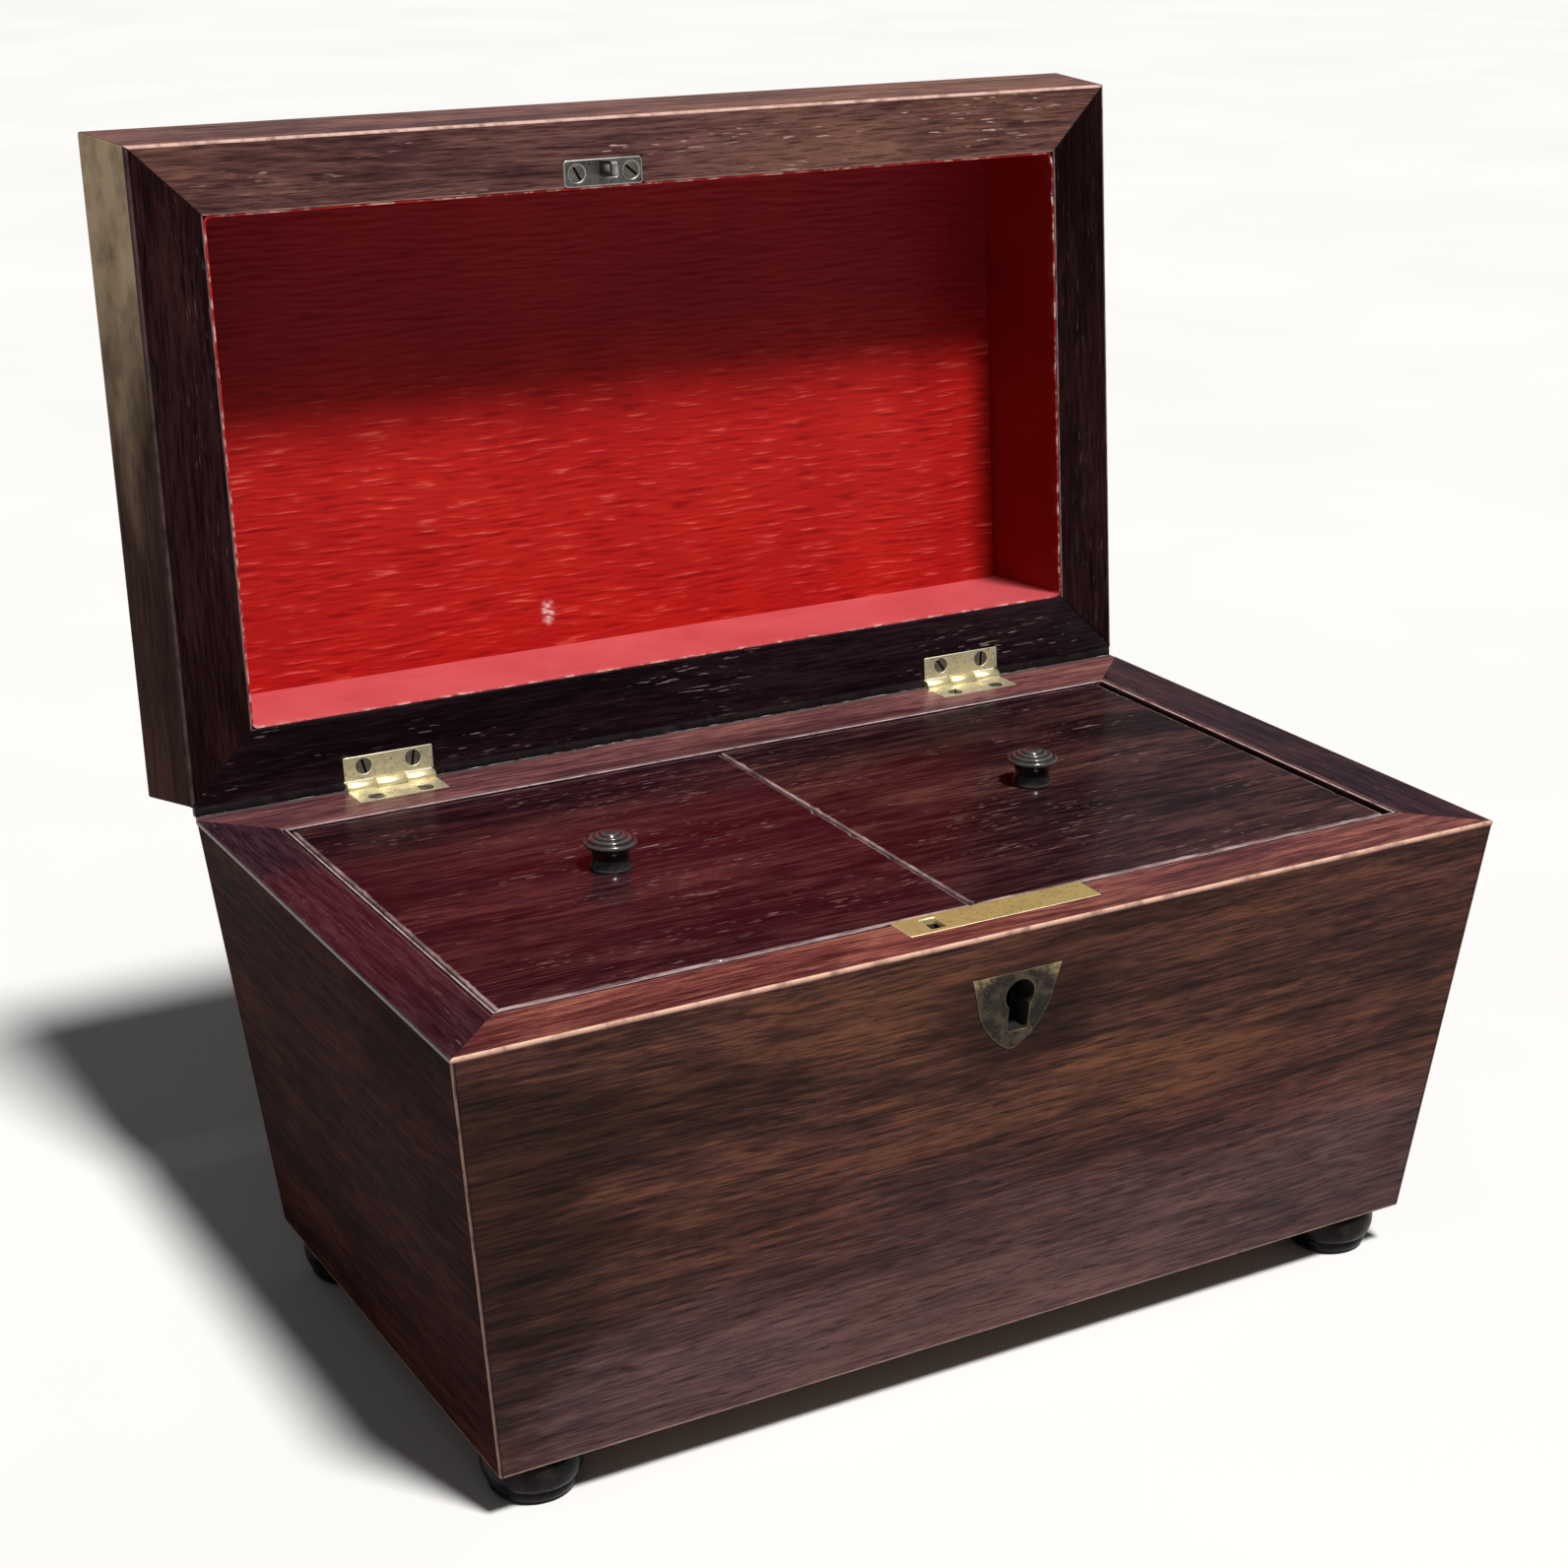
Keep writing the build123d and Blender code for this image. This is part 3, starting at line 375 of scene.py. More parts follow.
VENEERS = {
    # The front's lower part is a dusty purple brown, partly its own colour and partly painted sheen.
    "front": dict(
        along="x", seed=1, tones=((0.017, 0.008, 0.007), (0.064, 0.0255, 0.0175), (0.145, 0.055, 0.029)),
        **MATT, contrast=0.92, pores=0.05, rough=0.36, ior=1.14, smudge=0.25, cool=0.5, vessels=0.6,
        worn=(0.50, 0.33, 0.28), stains=FRONT_STAINS, low_tint_and_sheen=(56.0, 20.0, (0.116, 0.069, 0.076)),
    ),
    "back": dict(
        along="x", seed=2, tones=((0.012, 0.006, 0.005), (0.062, 0.026, 0.017), (0.16, 0.060, 0.029)), **MATT,
        pores=0.08, rough=0.38, ior=1.15, smudge=0.3, cool=0.5,
    ),
    "end": dict(
        along="y", seed=3, tones=((0.010, 0.004, 0.004), (0.030, 0.009, 0.008), (0.062, 0.020, 0.013)), **DULL,
        pores=0.03, rough=0.5, ior=1.05,
    ),
    "rim_long": dict(
        along="x", seed=4, tones=((0.034, 0.009, 0.009), (0.135, 0.038, 0.034), (0.29, 0.105, 0.068)),
        pores=0.2, rough=0.24, coat=0.2, worn=PEACH, smudge=0.3,
    ),
    "rim_short": dict(
        along="y", seed=5, tones=((0.009, 0.0038, 0.006), (0.030, 0.012, 0.017), (0.062, 0.024, 0.026)),
        pores=0.15, rough=0.24, coat=0.2, worn=(0.31, 0.16, 0.14), smudge=0.3, cool=0.2,
    ),
    "rim_back": dict(
        along="x", seed=14, tones=((0.036, 0.013, 0.014), (0.125, 0.044, 0.043), (0.24, 0.098, 0.082)),
        pores=0.2, rough=0.26, coat=0.2, worn=(0.11, 0.09, 0.09), smudge=0.3,
    ),
    "bead": dict(along="x", seed=6, tones=MAROON, pores=0.1, rough=0.18, coat=0.6, worn=(0.62, 0.46, 0.46)),
    "inner_left": dict(
        along="x", seed=7, tones=MAROON, pores=0.42, rough=0.2, coat=0.12, specular=0.2, worn=DUSTY,
        smudge=0.5, cool=0.2,
    ),
    "inner_right": dict(
        along="x", seed=8, tones=((0.005, 0.0018, 0.0028), (0.021, 0.008, 0.0100), (0.074, 0.030, 0.024)),
        contrast=1.1, pores=0.42, rough=0.2, coat=0.12, specular=0.2, worn=DUSTY, smudge=0.55,
    ),
    "lid_rim_long": dict(
        along="x", seed=9, tones=((0.034, 0.014, 0.013), (0.095, 0.042, 0.035), (0.17, 0.080, 0.058)), **MATT,
        on_lid=True, pores=0.9, pore_colour=(0.42, 0.29, 0.25), rough=0.36, ior=1.15,
        worn=(0.62, 0.40, 0.34), smudge=0.3,
    ),
    "lid_rim_back": dict(
        along="x", seed=15, tones=((0.003, 0.0016, 0.0024), (0.010, 0.004, 0.006), (0.023, 0.010, 0.012)),
        **MATT, on_lid=True, pores=0.8, pore_colour=(0.20, 0.135, 0.13), rough=0.32, ior=1.15,
        worn=(0.030, 0.025, 0.025), smudge=0.4,
    ),
    "lid_rim_short": dict(
        along="y", seed=10, tones=((0.0045, 0.0018, 0.0018), (0.012, 0.0042, 0.0046), (0.025, 0.009, 0.009)),
        **DULL, on_lid=True, pores=0.2, pore_colour=(0.15, 0.095, 0.09), rough=0.4, ior=1.08, worn=DUSTY,
        smudge=0.4,
    ),
    "band_long": dict(
        along="x", seed=11, tones=((0.046, 0.019, 0.017), (0.160, 0.068, 0.057), (0.34, 0.145, 0.100)),
        on_lid=True, pores=0.2, rough=0.3, coat=0.3, worn=PEACH, smudge=0.35,
    ),
    "lid_top": dict(
        along="x", seed=16, tones=((0.020, 0.009, 0.008), (0.082, 0.035, 0.026), (0.18, 0.076, 0.046)),
        on_lid=True, pores=0.1, rough=0.34, coat=0.1, ior=1.2, worn=PEACH, smudge=0.35,
    ),
    # Painted sheen: pale khaki blotches towards the front end of the lid's left side.
    "band_left": dict(
        along="y", seed=12, tones=BAND_END, **DULL, on_lid=True, pores=0.03, rough=0.42, ior=1.05,
        sheen_patch=((0.54, 0.40, 0.255), 18.0, -66.0),
    ),
    "band_right": dict(along="y", seed=13, tones=BAND_END, **MATT, on_lid=True, pores=0.1, rough=0.4, ior=1.15),
}
WOOD = {key: rosewood("rosewood_" + key, **look) for key, look in VENEERS.items()}


def turned_black(name, coat, ior, rubbed):
    """Ebonised turned wood: black, a little browner in patches, and paler where it is rubbed."""
    s = Shader(name)
    rub = s.noise(s.coords(), 0.35, 3.0)
    rings = s.noise(s.coords((0.15, 0.15, 3.0)), 1.0, 2.0)
    colour = s.mix(s.fade(rub, 0.45, 0.7), (0.005, 0.004, 0.004), (0.016, 0.011, 0.010))
    colour = s.mix(s.wear(), colour, rubbed)
    rough = s.fade(rub, 0.3, 0.7, 0.16, 0.42)
    s.set(Base_Color=colour, Roughness=rough, Normal=s.bump(rings, 0.25, 0.00006))
    s.set(Coat_Weight=coat, Coat_Roughness=0.12, IOR=ior)
    return s.material


def lining_paper(name, crinkled, seed):
    """Red glazed paper, pale where its edge is frayed."""
    s = Shader(name)
    at = s.coords((1, 1, 1), LID_TURN, (seed * 9.1, 0, 0))
    mottle = s.noise(at, 0.04, 4.0, 0.6)
    deep, red, bright = (0.31, 0.007, 0.007), (0.37, 0.010, 0.008), (0.41, 0.014, 0.010)
    colour = s.ramp(mottle, (0.3, deep), (0.55, red), (0.75, bright))
    fibres = s.noise(s.coords((0.16, 2.4, 2.4), LID_TURN, (seed, 3, 0)), 1.0, 3.0, 0.6)
    if crinkled:
        # Painted highlight: pink glints along the rib crests.
        crest = s.wear("crest")
        crest_highlight = s.times(s.fade(crest, 0.62, 0.95), s.fade(fibres, 0.42, 0.62))
        # Painted shadow: the half towards the front rim is a darker, duller red, where the front rim shades it.
        front_shadow = s.fade(s.closed_lid_y(), 2.0, -26.0)
        dull = s.mix(mottle, (0.09, 0.004, 0.012), (0.15, 0.010, 0.018))
        colour = s.mix(s.times(s.minus(1.0, front_shadow), s.times(crest_highlight, 0.75)), colour, (0.62, 0.09, 0.07))
        # Painted shade: darker down in the valleys between the ribs.
        colour = s.mix(s.times(s.fade(crest, 0.35, 0.0), 0.55), colour, (0.15, 0.003, 0.004))
        colour = s.mix(s.times(front_shadow, 0.62), colour, dull)
        rough = s.fade(fibres, 0.3, 0.7, 0.36, 0.52)
    else:
        # Painted shade: darker on the right-hand wall. Painted sheen: pink on the wall by the hinges.
        right_wall_shade = s.fade(s.split(s.coords())["X"], 102.8, 103.8)
        hinge_wall_sheen = s.fade(s.closed_lid_y(), 53.2, 53.9)
        sheen_pink = s.mix(mottle, (0.38, 0.045, 0.055), (0.52, 0.11, 0.12))
        colour = s.mix(s.times(s.fade(fibres, 0.5, 0.75), 0.35), colour, (0.46, 0.035, 0.03))
        colour = s.mix(s.times(right_wall_shade, 0.62), colour, (0.11, 0.002, 0.003))
        colour = s.mix(s.times(hinge_wall_sheen, 0.8), colour, sheen_pink)
        rough = s.fade(mottle, 0.3, 0.7, 0.28, 0.38)
    colour = s.mix(s.wear("scuff"), colour, (0.75, 0.55, 0.53))
    torn = s.times(s.wear(), s.fade(s.noise(at, 0.22, 4.0, 0.65), 0.47, 0.62))
    colour = s.mix(torn, colour, (0.78, 0.46, 0.40))
    s.set(Base_Color=colour, Roughness=rough, Normal=s.bump(fibres, 0.25, 0.00006))
    s.set(Specular_IOR_Level=0.4, IOR=1.2)
    return s.material


def metal(name, seed, tones, share, rough, along, edge, metallic, corners=None):
    """Old metal: clean, dulled and near-black patches, scratches, and brighter rubbed edges."""
    s = Shader(name)
    clean, dull, dark = tones
    at = s.coords((1, 1, 1), NO_TURN, (seed * 17.0, seed * 3.0, 0))
    patches = s.noise(at, 0.22, 5.0, 0.62, 0.3)
    spots = s.noise(at, 1.3, 4.0, 0.6)
    scratches = s.noise(s.coords(along, NO_TURN, (seed, 0, 0)), 1.0, 3.0, 0.6)
    colour = s.mix(s.fade(patches, 0.5 - share, 0.72 - share), clean, dull)
    colour = s.mix(s.times(s.fade(spots, 0.56, 0.68), 0.8), colour, dark)
    colour = s.mix(s.times(s.fade(scratches, 0.6, 0.72), 0.4), colour, edge)
    if corners:
        # The corners furthest from the middle, which polishing reached.
        x, z, low, high, tint = corners
        reach = s.length(s.vector("SUBTRACT", s.coords((1, 0, 1)), (x, 0.0, z)))
        ragged = s.plus(reach, s.times(s.minus(patches, 0.5), 9.0))
        polished = s.mix(s.fade(spots, 0.42, 0.62), tint, dim(tint, 0.3))
        colour = s.mix(s.fade(ragged, low, high), colour, polished)
    colour = s.mix(s.wear(), colour, edge)
    # The floors of screw slots go near black.
    colour = s.mix(s.wear("dark_joints_and_slot_floors"), colour, dim(dark, 0.3))
    roughness = s.plus(s.fade(patches, 0.3, 0.7, *rough), s.times(spots, 0.1), clamp=True)
    normal = s.bump(s.plus(spots, scratches), 0.3, 0.00005)
    s.set(Base_Color=colour, Roughness=roughness, Normal=normal, Metallic=metallic)
    return s.material


def plain_board(name):
    """Unpolished secondary wood of the carcass."""
    s = Shader(name)
    growth = s.noise(s.coords((0.008, 0.15, 0.5)), 1.0, 4.0, 0.6)
    fibre = s.noise(s.coords((0.06, 1.2, 1.5)), 1.0, 3.0)
    colour = s.ramp(growth, (0.3, (0.10, 0.05, 0.028)), (0.7, (0.24, 0.13, 0.07)))
    colour = s.mix(s.fade(fibre, 0.45, 0.7), colour, (0.075, 0.036, 0.02))
    # Painted shade: near black round the keyhole's passage, where the hole is dark inside.
    reach = s.length(s.vector("SUBTRACT", s.coords((1, 0, 1)), (KEYHOLE_X, 0.0, 86.0)))
    colour = s.mix(s.fade(reach, 11.0, 9.0), colour, (0.006, 0.004, 0.003))
    s.set(Base_Color=colour, Roughness=s.fade(fibre, 0.3, 0.7, 0.55, 0.8), Normal=s.bump(fibre, 0.4, 0.0001))
    return s.material


def tea_foil(name):
    """Dull lead foil, wrinkled where it was pressed into the well."""
    s = Shader(name)
    at = s.coords()
    folds = s.noise(at, 0.12, 5.0, 0.6, 1.2)
    stain = s.noise(at, 0.04, 3.0)
    colour = s.mix(s.fade(stain, 0.4, 0.7), (0.34, 0.34, 0.34), (0.20, 0.18, 0.15))
    s.set(Base_Color=colour, Roughness=s.fade(folds, 0.3, 0.7, 0.3, 0.55), Normal=s.bump(folds, 0.8, 0.0006))
    s.set(Metallic=1.0)
    return s.material


EBONY = turned_black("ebonised_turning", 0.8, 1.35, (0.20, 0.18, 0.18))
FOOT_BLACK = turned_black("ebonised_foot", 0.04, 1.15, (0.05, 0.042, 0.04))
PAPER_PANEL = lining_paper("red_paper_crinkled", True, 1)
PAPER_SIDES = lining_paper("red_paper_smooth", False, 2)
BRASS_BARREL = metal(
    "brass_barrel", 1, ((0.80, 0.68, 0.36), (0.62, 0.52, 0.27), (0.20, 0.16, 0.08)), 0.05,
    (0.28, 0.42), (0.4, 3, 3), (0.95, 0.88, 0.62), 0.85,
)
BRASS_LEAF = metal(
    "brass_leaf", 2, ((0.72, 0.65, 0.42), (0.46, 0.42, 0.30), (0.12, 0.10, 0.07)), 0.10,
    (0.34, 0.55), (0.5, 3, 3), (0.85, 0.78, 0.6), 0.8,
)
BRASS_PLATE = metal(
    "brass_plate", 3, ((0.92, 0.71, 0.27), (0.66, 0.51, 0.21), (0.22, 0.16, 0.09)), 0.06,
    (0.35, 0.5), (0.3, 4, 3), (0.95, 0.85, 0.55), 0.85,
)
BRASS_DARK = metal(
    "brass_tarnished", 4, ((0.075, 0.056, 0.034), (0.024, 0.019, 0.017), (0.008, 0.006, 0.006)), 0.18,
    (0.4, 0.6), (1.5, 1.5, 1.5), (0.20, 0.16, 0.10), 0.9,
    corners=(SHIELD_X, 84.0, 10.5, 14.5, (0.36, 0.28, 0.15)),
)
SCREW_STEEL = metal(
    "screw_steel", 5, ((0.16, 0.15, 0.13), (0.08, 0.07, 0.06), (0.02, 0.018, 0.015)), 0.14,
    (0.3, 0.5), (1.5, 1.5, 1.5), (0.45, 0.42, 0.36), 0.9,
)
KEEPER_STEEL = metal(
    "keeper_steel", 6, ((0.15, 0.145, 0.14), (0.055, 0.050, 0.050), (0.012, 0.010, 0.010)), 0.02,
    (0.28, 0.5), (0.6, 3, 3), (0.62, 0.60, 0.56), 0.95,
)
LOCK_STEEL = metal(
    "lock_steel", 7, ((0.30, 0.29, 0.27), (0.16, 0.14, 0.12), (0.06, 0.04, 0.03)), 0.1,
    (0.35, 0.55), (1, 1, 3), (0.6, 0.58, 0.52), 0.95,
)
CARCASS = plain_board("carcass_board")
FOIL = tea_foil("tea_foil")

# ---------------------------------------------------------------- mesh building


def quads(a, b, size):
    """Faces between two closed rows of points that start at a and at b."""
    return [(a + i, a + (i + 1) % size, b + (i + 1) % size, b + i) for i in range(size)]


def tube(rows, size):
    """Faces between closed rows of points, and then the two ends."""
    faces = [face for r in range(rows - 1) for face in quads(r * size, (r + 1) * size, size)]
    return faces + [tuple(range(size))[::-1], tuple((rows - 1) * size + i for i in range(size))]


def fix_normals(piece):
    """Turn the faces of a closed mesh outwards."""
    bm = bmesh.new()
    bm.from_mesh(piece.data)
    bmesh.ops.recalc_face_normals(bm, faces=bm.faces)
    bm.to_mesh(piece.data)
    bm.free()


def make(name, places, faces, material, body, replaced=(), smooth=None, layers=None, sharp=35):
    """One closed mesh piece that rides on a body. smooth lists the faces that aren't flat, or True."""
    mesh = bpy.data.meshes.new(name)
    mesh.from_pydata([tuple(p) for p in places], [], faces)
    mesh.validate()
    mesh.materials.append(material)
    for layer, values in (layers or {}).items():
        mesh.attributes.new(layer, "FLOAT", "POINT").data.foreach_set("value", values)
    if smooth:
        every = range(len(mesh.polygons))
        chosen = every if smooth is True else set(smooth)
        mesh.polygons.foreach_set("use_smooth", [i in chosen for i in every])
        mesh.set_sharp_from_angle(angle=radians(sharp))
    mesh.update()
    piece = bpy.data.objects.new(name, mesh)
    scene.collection.objects.link(piece)
    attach(piece, body)
    if replaced:
        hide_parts(*replaced)
    fix_normals(piece)
    return piece


def carve(piece, cutter):
    """Cut one solid out of a piece, for good."""
    modifier = piece.modifiers.new("cut", "BOOLEAN")
    modifier.operation = "DIFFERENCE"
    modifier.solver = "EXACT"
    modifier.object = cutter
    depsgraph = bpy.context.evaluated_depsgraph_get()
    result = bpy.data.meshes.new_from_object(piece.evaluated_get(depsgraph))
    piece.modifiers.clear()
    old = piece.data
    piece.data = result
    bpy.data.meshes.remove(old)


def make_cutter(places, faces):
    """A solid that only cuts, and is dropped afterwards."""
    mesh = bpy.data.meshes.new("cutter")
    mesh.from_pydata(places, [], faces)
    cutter = bpy.data.objects.new("cutter", mesh)
    scene.collection.objects.link(cutter)
    fix_normals(cutter)
    return cutter


def box_cutter(low, high, place=world):
    """A box that only cuts, between two corners."""
    corners = [(x, y, z) for z in (low[2], high[2]) for y in (low[1], high[1]) for x in (low[0], high[0])]
    faces = [(0, 2, 3, 1), (4, 5, 7, 6), (0, 1, 5, 4), (2, 6, 7, 3), (0, 4, 6, 2), (1, 3, 7, 5)]
    return make_cutter([place(*corner) for corner in corners], faces)


def drop(*cutters):
    """Delete the solids that only cut."""
    for cutter in cutters:
        mesh = cutter.data
        bpy.data.objects.remove(cutter)
        bpy.data.meshes.remove(mesh)


def along_side(side, offset, share, height):
    """A point of a mitred side: share runs 0 to 1 between its mitres, anticlockwise from above."""
    half_x, half_y = WIDTH / 2 - offset, DEPTH / 2 - offset
    reach = 2 * share - 1
    if side == "front":
        return reach * half_x, -half_y, height
    if side == "right":
        return half_x, reach * half_y, height
    if side == "back":
        return -reach * half_x, half_y, height
    return -half_x, -reach * half_y, height


def strip(
    name, side, profile, material, body, replaced, place=world, step=4.0, dips=(), dip=(0.0, 0.0),
    cutters=(), corner=0.0,
):
    """A mitred strip with a closed profile of (offset, height, edge wear).

    dips lists the profile points that move by dip, (offset, height), in the mitres.
    corner is how far the arris at each mitre is rubbed pale, between two dark lines.
    """
    length = WIDTH if side in LONG else DEPTH
    count = int(length / step)
    ends = [0.0, 0.25 / length, 0.6 / length, 1.0 / length]
    shares = ends + [k / count for k in range(1, count)] + [1 - e for e in reversed(ends)]
    dark_at, dark = (2, 0.85) if corner else (0, 0.75)
    places, wear, dark_joints_and_slot_floors = [], [], []
    for n, share in enumerate(shares):
        from_end = min(n, len(shares) - 1 - n)
        for i, (offset, height, worn) in enumerate(profile):
            if i in dips and from_end == 0:
                offset, height = offset + dip[0], height + dip[1]
            if worn > 0 and from_end > 0:
                x, y, _ = along_side(side, offset, share, height)
                offset += max(0.0, rough_noise(x, y, len(name), 0.35)) * 0.10 * worn
            places.append(place(*along_side(side, offset, share, height)))
            wear.append(max(worn, corner) if i in dips and from_end <= 1 else worn)
            dark_joints_and_slot_floors.append(dark if i in dips and from_end == dark_at else 0.0)
    faces = tube(len(shares), len(profile))
    rubbed = [f for f, face in enumerate(faces[:-2]) if any(wear[v] > 0 for v in face)]
    piece = make(name, places, faces, material, body, replaced, rubbed, {"edge": wear, "dark_joints_and_slot_floors": dark_joints_and_slot_floors})
    for cutter in cutters:
        carve(piece, cutter)


def inset(loop, amount):
    """A closed 2D outline moved inwards, for an anticlockwise loop."""
    moved = []
    for i, (x, y) in enumerate(loop):
        ax, ay = loop[i - 1]
        bx, by = loop[(i + 1) % len(loop)]
        ux, uy = x - ax, y - ay
        vx, vy = bx - x, by - y
        lu, lv = hypot(ux, uy) or 1, hypot(vx, vy) or 1
        nx, ny = -uy / lu - vy / lv, ux / lu + vx / lv
        size = hypot(nx, ny) or 1
        nx, ny = nx / size, ny / size
        spread = max(0.35, nx * -uy / lu + ny * ux / lu)
        moved.append((x + nx * amount / spread, y + ny * amount / spread))
    return moved


def filled(loops, index):
    """Triangles that fill flat outlines with holes; index holds the mesh's numbers of their points."""
    flat = [[Vector((*xy, 0)) for xy in loop] for loop in loops]
    return [tuple(index[t] for t in triangle) for triangle in tessellate_polygon(flat)]


def plate_mesh(outer, holes, low, high, bevel, place, wear=1.0, steps=3, margin=0.0):
    """A flat plate between two heights with rounded upper edges, worn over a narrow margin beside them.

    Returns places, faces, rounded faces and wear.
    """
    loops = [outer] + [hole[::-1] for hole in holes]
    rows = [(0.0, low, 0.0)]
    for k in range(steps + 1):
        a = pi / 2 * k / steps
        rows.append((bevel * (1 - cos(a)), high - bevel + bevel * sin(a), wear))
    if margin:
        rows.append((bevel + margin, high, 0.0))
    places, faces, rounded, worn, base, cap = [], [], [], [], [], []
    for loop in loops:
        start, size = len(places), len(loop)
        for back, height, w in rows:
            places += [place(x, y, height) for x, y in inset(loop, back)]
            worn += [w] * size
        for r in range(len(rows) - 1):
            faces += quads(start + r * size, start + (r + 1) * size, size)
            if r:
                rounded += range(len(faces) - size, len(faces))
        base += range(start, start + size)
        cap += range(len(places) - size, len(places))
    faces += filled(loops, base) + filled([inset(loop, bevel + margin) for loop in loops], cap)
    return places, faces, rounded, worn


def join(*meshes):
    """Several meshes of places, faces, rounded faces and wear as one."""
    places, faces, rounded, worn = [], [], [], []
    for more_places, more_faces, more_rounded, more_worn in meshes:
        rounded += [len(faces) + r for r in more_rounded]
        faces += [tuple(len(places) + v for v in face) for face in more_faces]
        places += more_places
        worn += more_worn
    return places, faces, rounded, worn


def plate(name, outer, holes, low, high, bevel, place, material, body, replaced, wear):
    """A flat plate as a piece of its own."""
    places, faces, rounded, worn = plate_mesh(outer, holes, low, high, bevel, place, wear, margin=0.2)
    make(name, places, faces, material, body, replaced, rounded, {"edge": worn})


def rectangle(x0, x1, y0, y1, corner=0.0, steps=4, fine=0.0):
    """An anticlockwise rectangle, with rounded corners and extra points where asked."""
    right, left, front, back = x1 - corner, x0 + corner, y0 + corner, y1 - corner
    loop = []
    for cx, cy, a0 in ((right, front, -90), (right, back, 0), (left, back, 90), (left, front, 180)):
        turns = [radians(a0 + 90 * k / steps) for k in range(steps + 1)] if corner else [0.0]
        loop += [(cx + corner * cos(a), cy + corner * sin(a)) for a in turns]
    if not fine:
        return loop
    dense = []
    for (x, y), (bx, by) in zip(loop, loop[1:] + loop[:1]):
        parts = max(1, int(hypot(bx - x, by - y) / fine))
        dense += [(x + (bx - x) * k / parts, y + (by - y) * k / parts) for k in range(parts)]
    return dense


def ring(cx, cy, radius, count):
    """Points of a circle, anticlockwise."""
    turns = [2 * pi * k / count for k in range(count)]
    return [(cx + radius * cos(a), cy + radius * sin(a)) for a in turns]


def lathe(name, profile, centre, material, body, replaced, count):
    """A turned piece of ebonised wood from (radius, height, wear) points, closed at both ends."""
    places = [world(x, y, height) for radius, height, _ in profile for x, y in ring(*centre, radius, count)]
    worn = [w for _, _, w in profile for _ in range(count)]
    faces = tube(len(profile), count)
    make(name, places, faces, material, body, replaced, True, {"edge": worn}, 40)


def quarter(bevel, angles):
    """Points round a softened edge, as (inwards, upwards)."""
    return [(bevel * (1 - cos(radians(a))), bevel * sin(radians(a))) for a in angles]


# ---------------------------------------------------------------- escutcheon and keyhole outlines


def circle_through(a, b, c, steps):
    """Points from a to c along the circle through a, b and c, without either end."""
    (ax, ay), (bx, by), (cx, cy) = a, b, c
    d = 2 * (ax * (by - cy) + bx * (cy - ay) + cx * (ay - by))
    ux = ((ax**2 + ay**2) * (by - cy) + (bx**2 + by**2) * (cy - ay) + (cx**2 + cy**2) * (ay - by)) / d
    uy = ((ax**2 + ay**2) * (cx - bx) + (bx**2 + by**2) * (ax - cx) + (cx**2 + cy**2) * (bx - ax)) / d
    start, stop = atan2(ay - uy, ax - ux), atan2(cy - uy, cx - ux)
    radius = hypot(ax - ux, ay - uy)
    turns = [start + (stop - start) * k / steps for k in range(1, steps)]
    return [(ux + radius * cos(t), uy + radius * sin(t)) for t in turns]


def shield_outline(grow=0.0):
    """The escutcheon's outline as (x, v), clockwise when seen from the front."""
    top, half, tip = 9.4 - grow, 10.4 + grow, 27.0 + grow
    corner = (8.9 + grow, 14.9)
    right = [(half, top), (half - 0.75, top + 2.75), corner]
    right += circle_through(corner, (5.98 + grow, 22.07 + grow), (0.0, tip), 14)
    right = [(x, v) for x, v in right if x > 1.4] + [(1.4, tip - 0.62), (0.5, tip - 0.3)]
    left = [(-x, v) for x, v in reversed(right)]
    return [(x + SHIELD_X, v) for x, v in right + left]


def keyhole_outline():
    """The keyhole as (x, v) on the leaning front: a round eye over a narrower slot."""
    eye_v, radius, half = 14.7 / cos(FACE_ANGLE), 3.4, 2.4
    start, steps = asin(half / radius), 28
    turns = [start + (2 * pi - 2 * start) * k / steps for k in range(steps + 1)]
    eye = [(KEYHOLE_X + radius * sin(a), eye_v + radius * cos(a)) for a in turns]
    left, right, end_v, cut = KEYHOLE_X - half, KEYHOLE_X + half, eye_v + 8.0, 0.5
    return eye + [(left, end_v - cut), (left + cut, end_v), (right - cut, end_v), (right, end_v - cut)]


def anticlockwise(loop):
    """The same outline, turned round if it runs clockwise."""
    area = sum(x * v - y * u for (x, y), (u, v) in zip(loop, loop[1:] + loop[:1]))
    return loop[::-1] if area < 0 else loop


# ---------------------------------------------------------------- body veneers, rims and beads

FACES = {"front": "front", "right": "end", "back": "back", "left": "end"}
RIMS = {"front": "rim_long", "right": "rim_short", "back": "rim_back", "left": "rim_short"}
RIM_WEAR = {"front": 1.0, "left": 0.1, "right": 0.3, "back": 0.1}
HALF_HINGE = HINGE_LENGTH / 2 + SEAT_GAP
UNDER_RIM = RIM_Z - VENEER

shield = shield_outline(0.06)
shield_count = len(shield)
shield_cutter = make_cutter(
    [front_face(x, v, out) for out in (-2.5, 1.0) for x, v in shield],
    quads(0, shield_count, shield_count)
    + [tuple(range(shield_count)), tuple(range(shield_count, 2 * shield_count))],
)
for side in SIDES:
    foot = FOOT_HEIGHT
    rises = [foot + 0.7 + (UNDER_RIM - foot - 0.7) * k / 10 for k in range(11)]
    profile = [(lean(foot) + 0.35, foot, 0.8), (lean(foot + 0.35), foot + 0.35, 0.8)]
    profile += [(lean(z), z, 0.0) for z in rises]
    profile += [(lean(UNDER_RIM) + VENEER, UNDER_RIM, 0.0), (lean(foot) + VENEER, foot, 0.0)]
    strip(
        f"{side}_veneer_face", side, profile, WOOD[FACES[side]], "caddy_body",
        (f"{side}_veneer",), dips=range(1, 13), dip=(0.16, 0.0), corner=0.5,
        cutters=[shield_cutter] if side == "front" else (),
    )

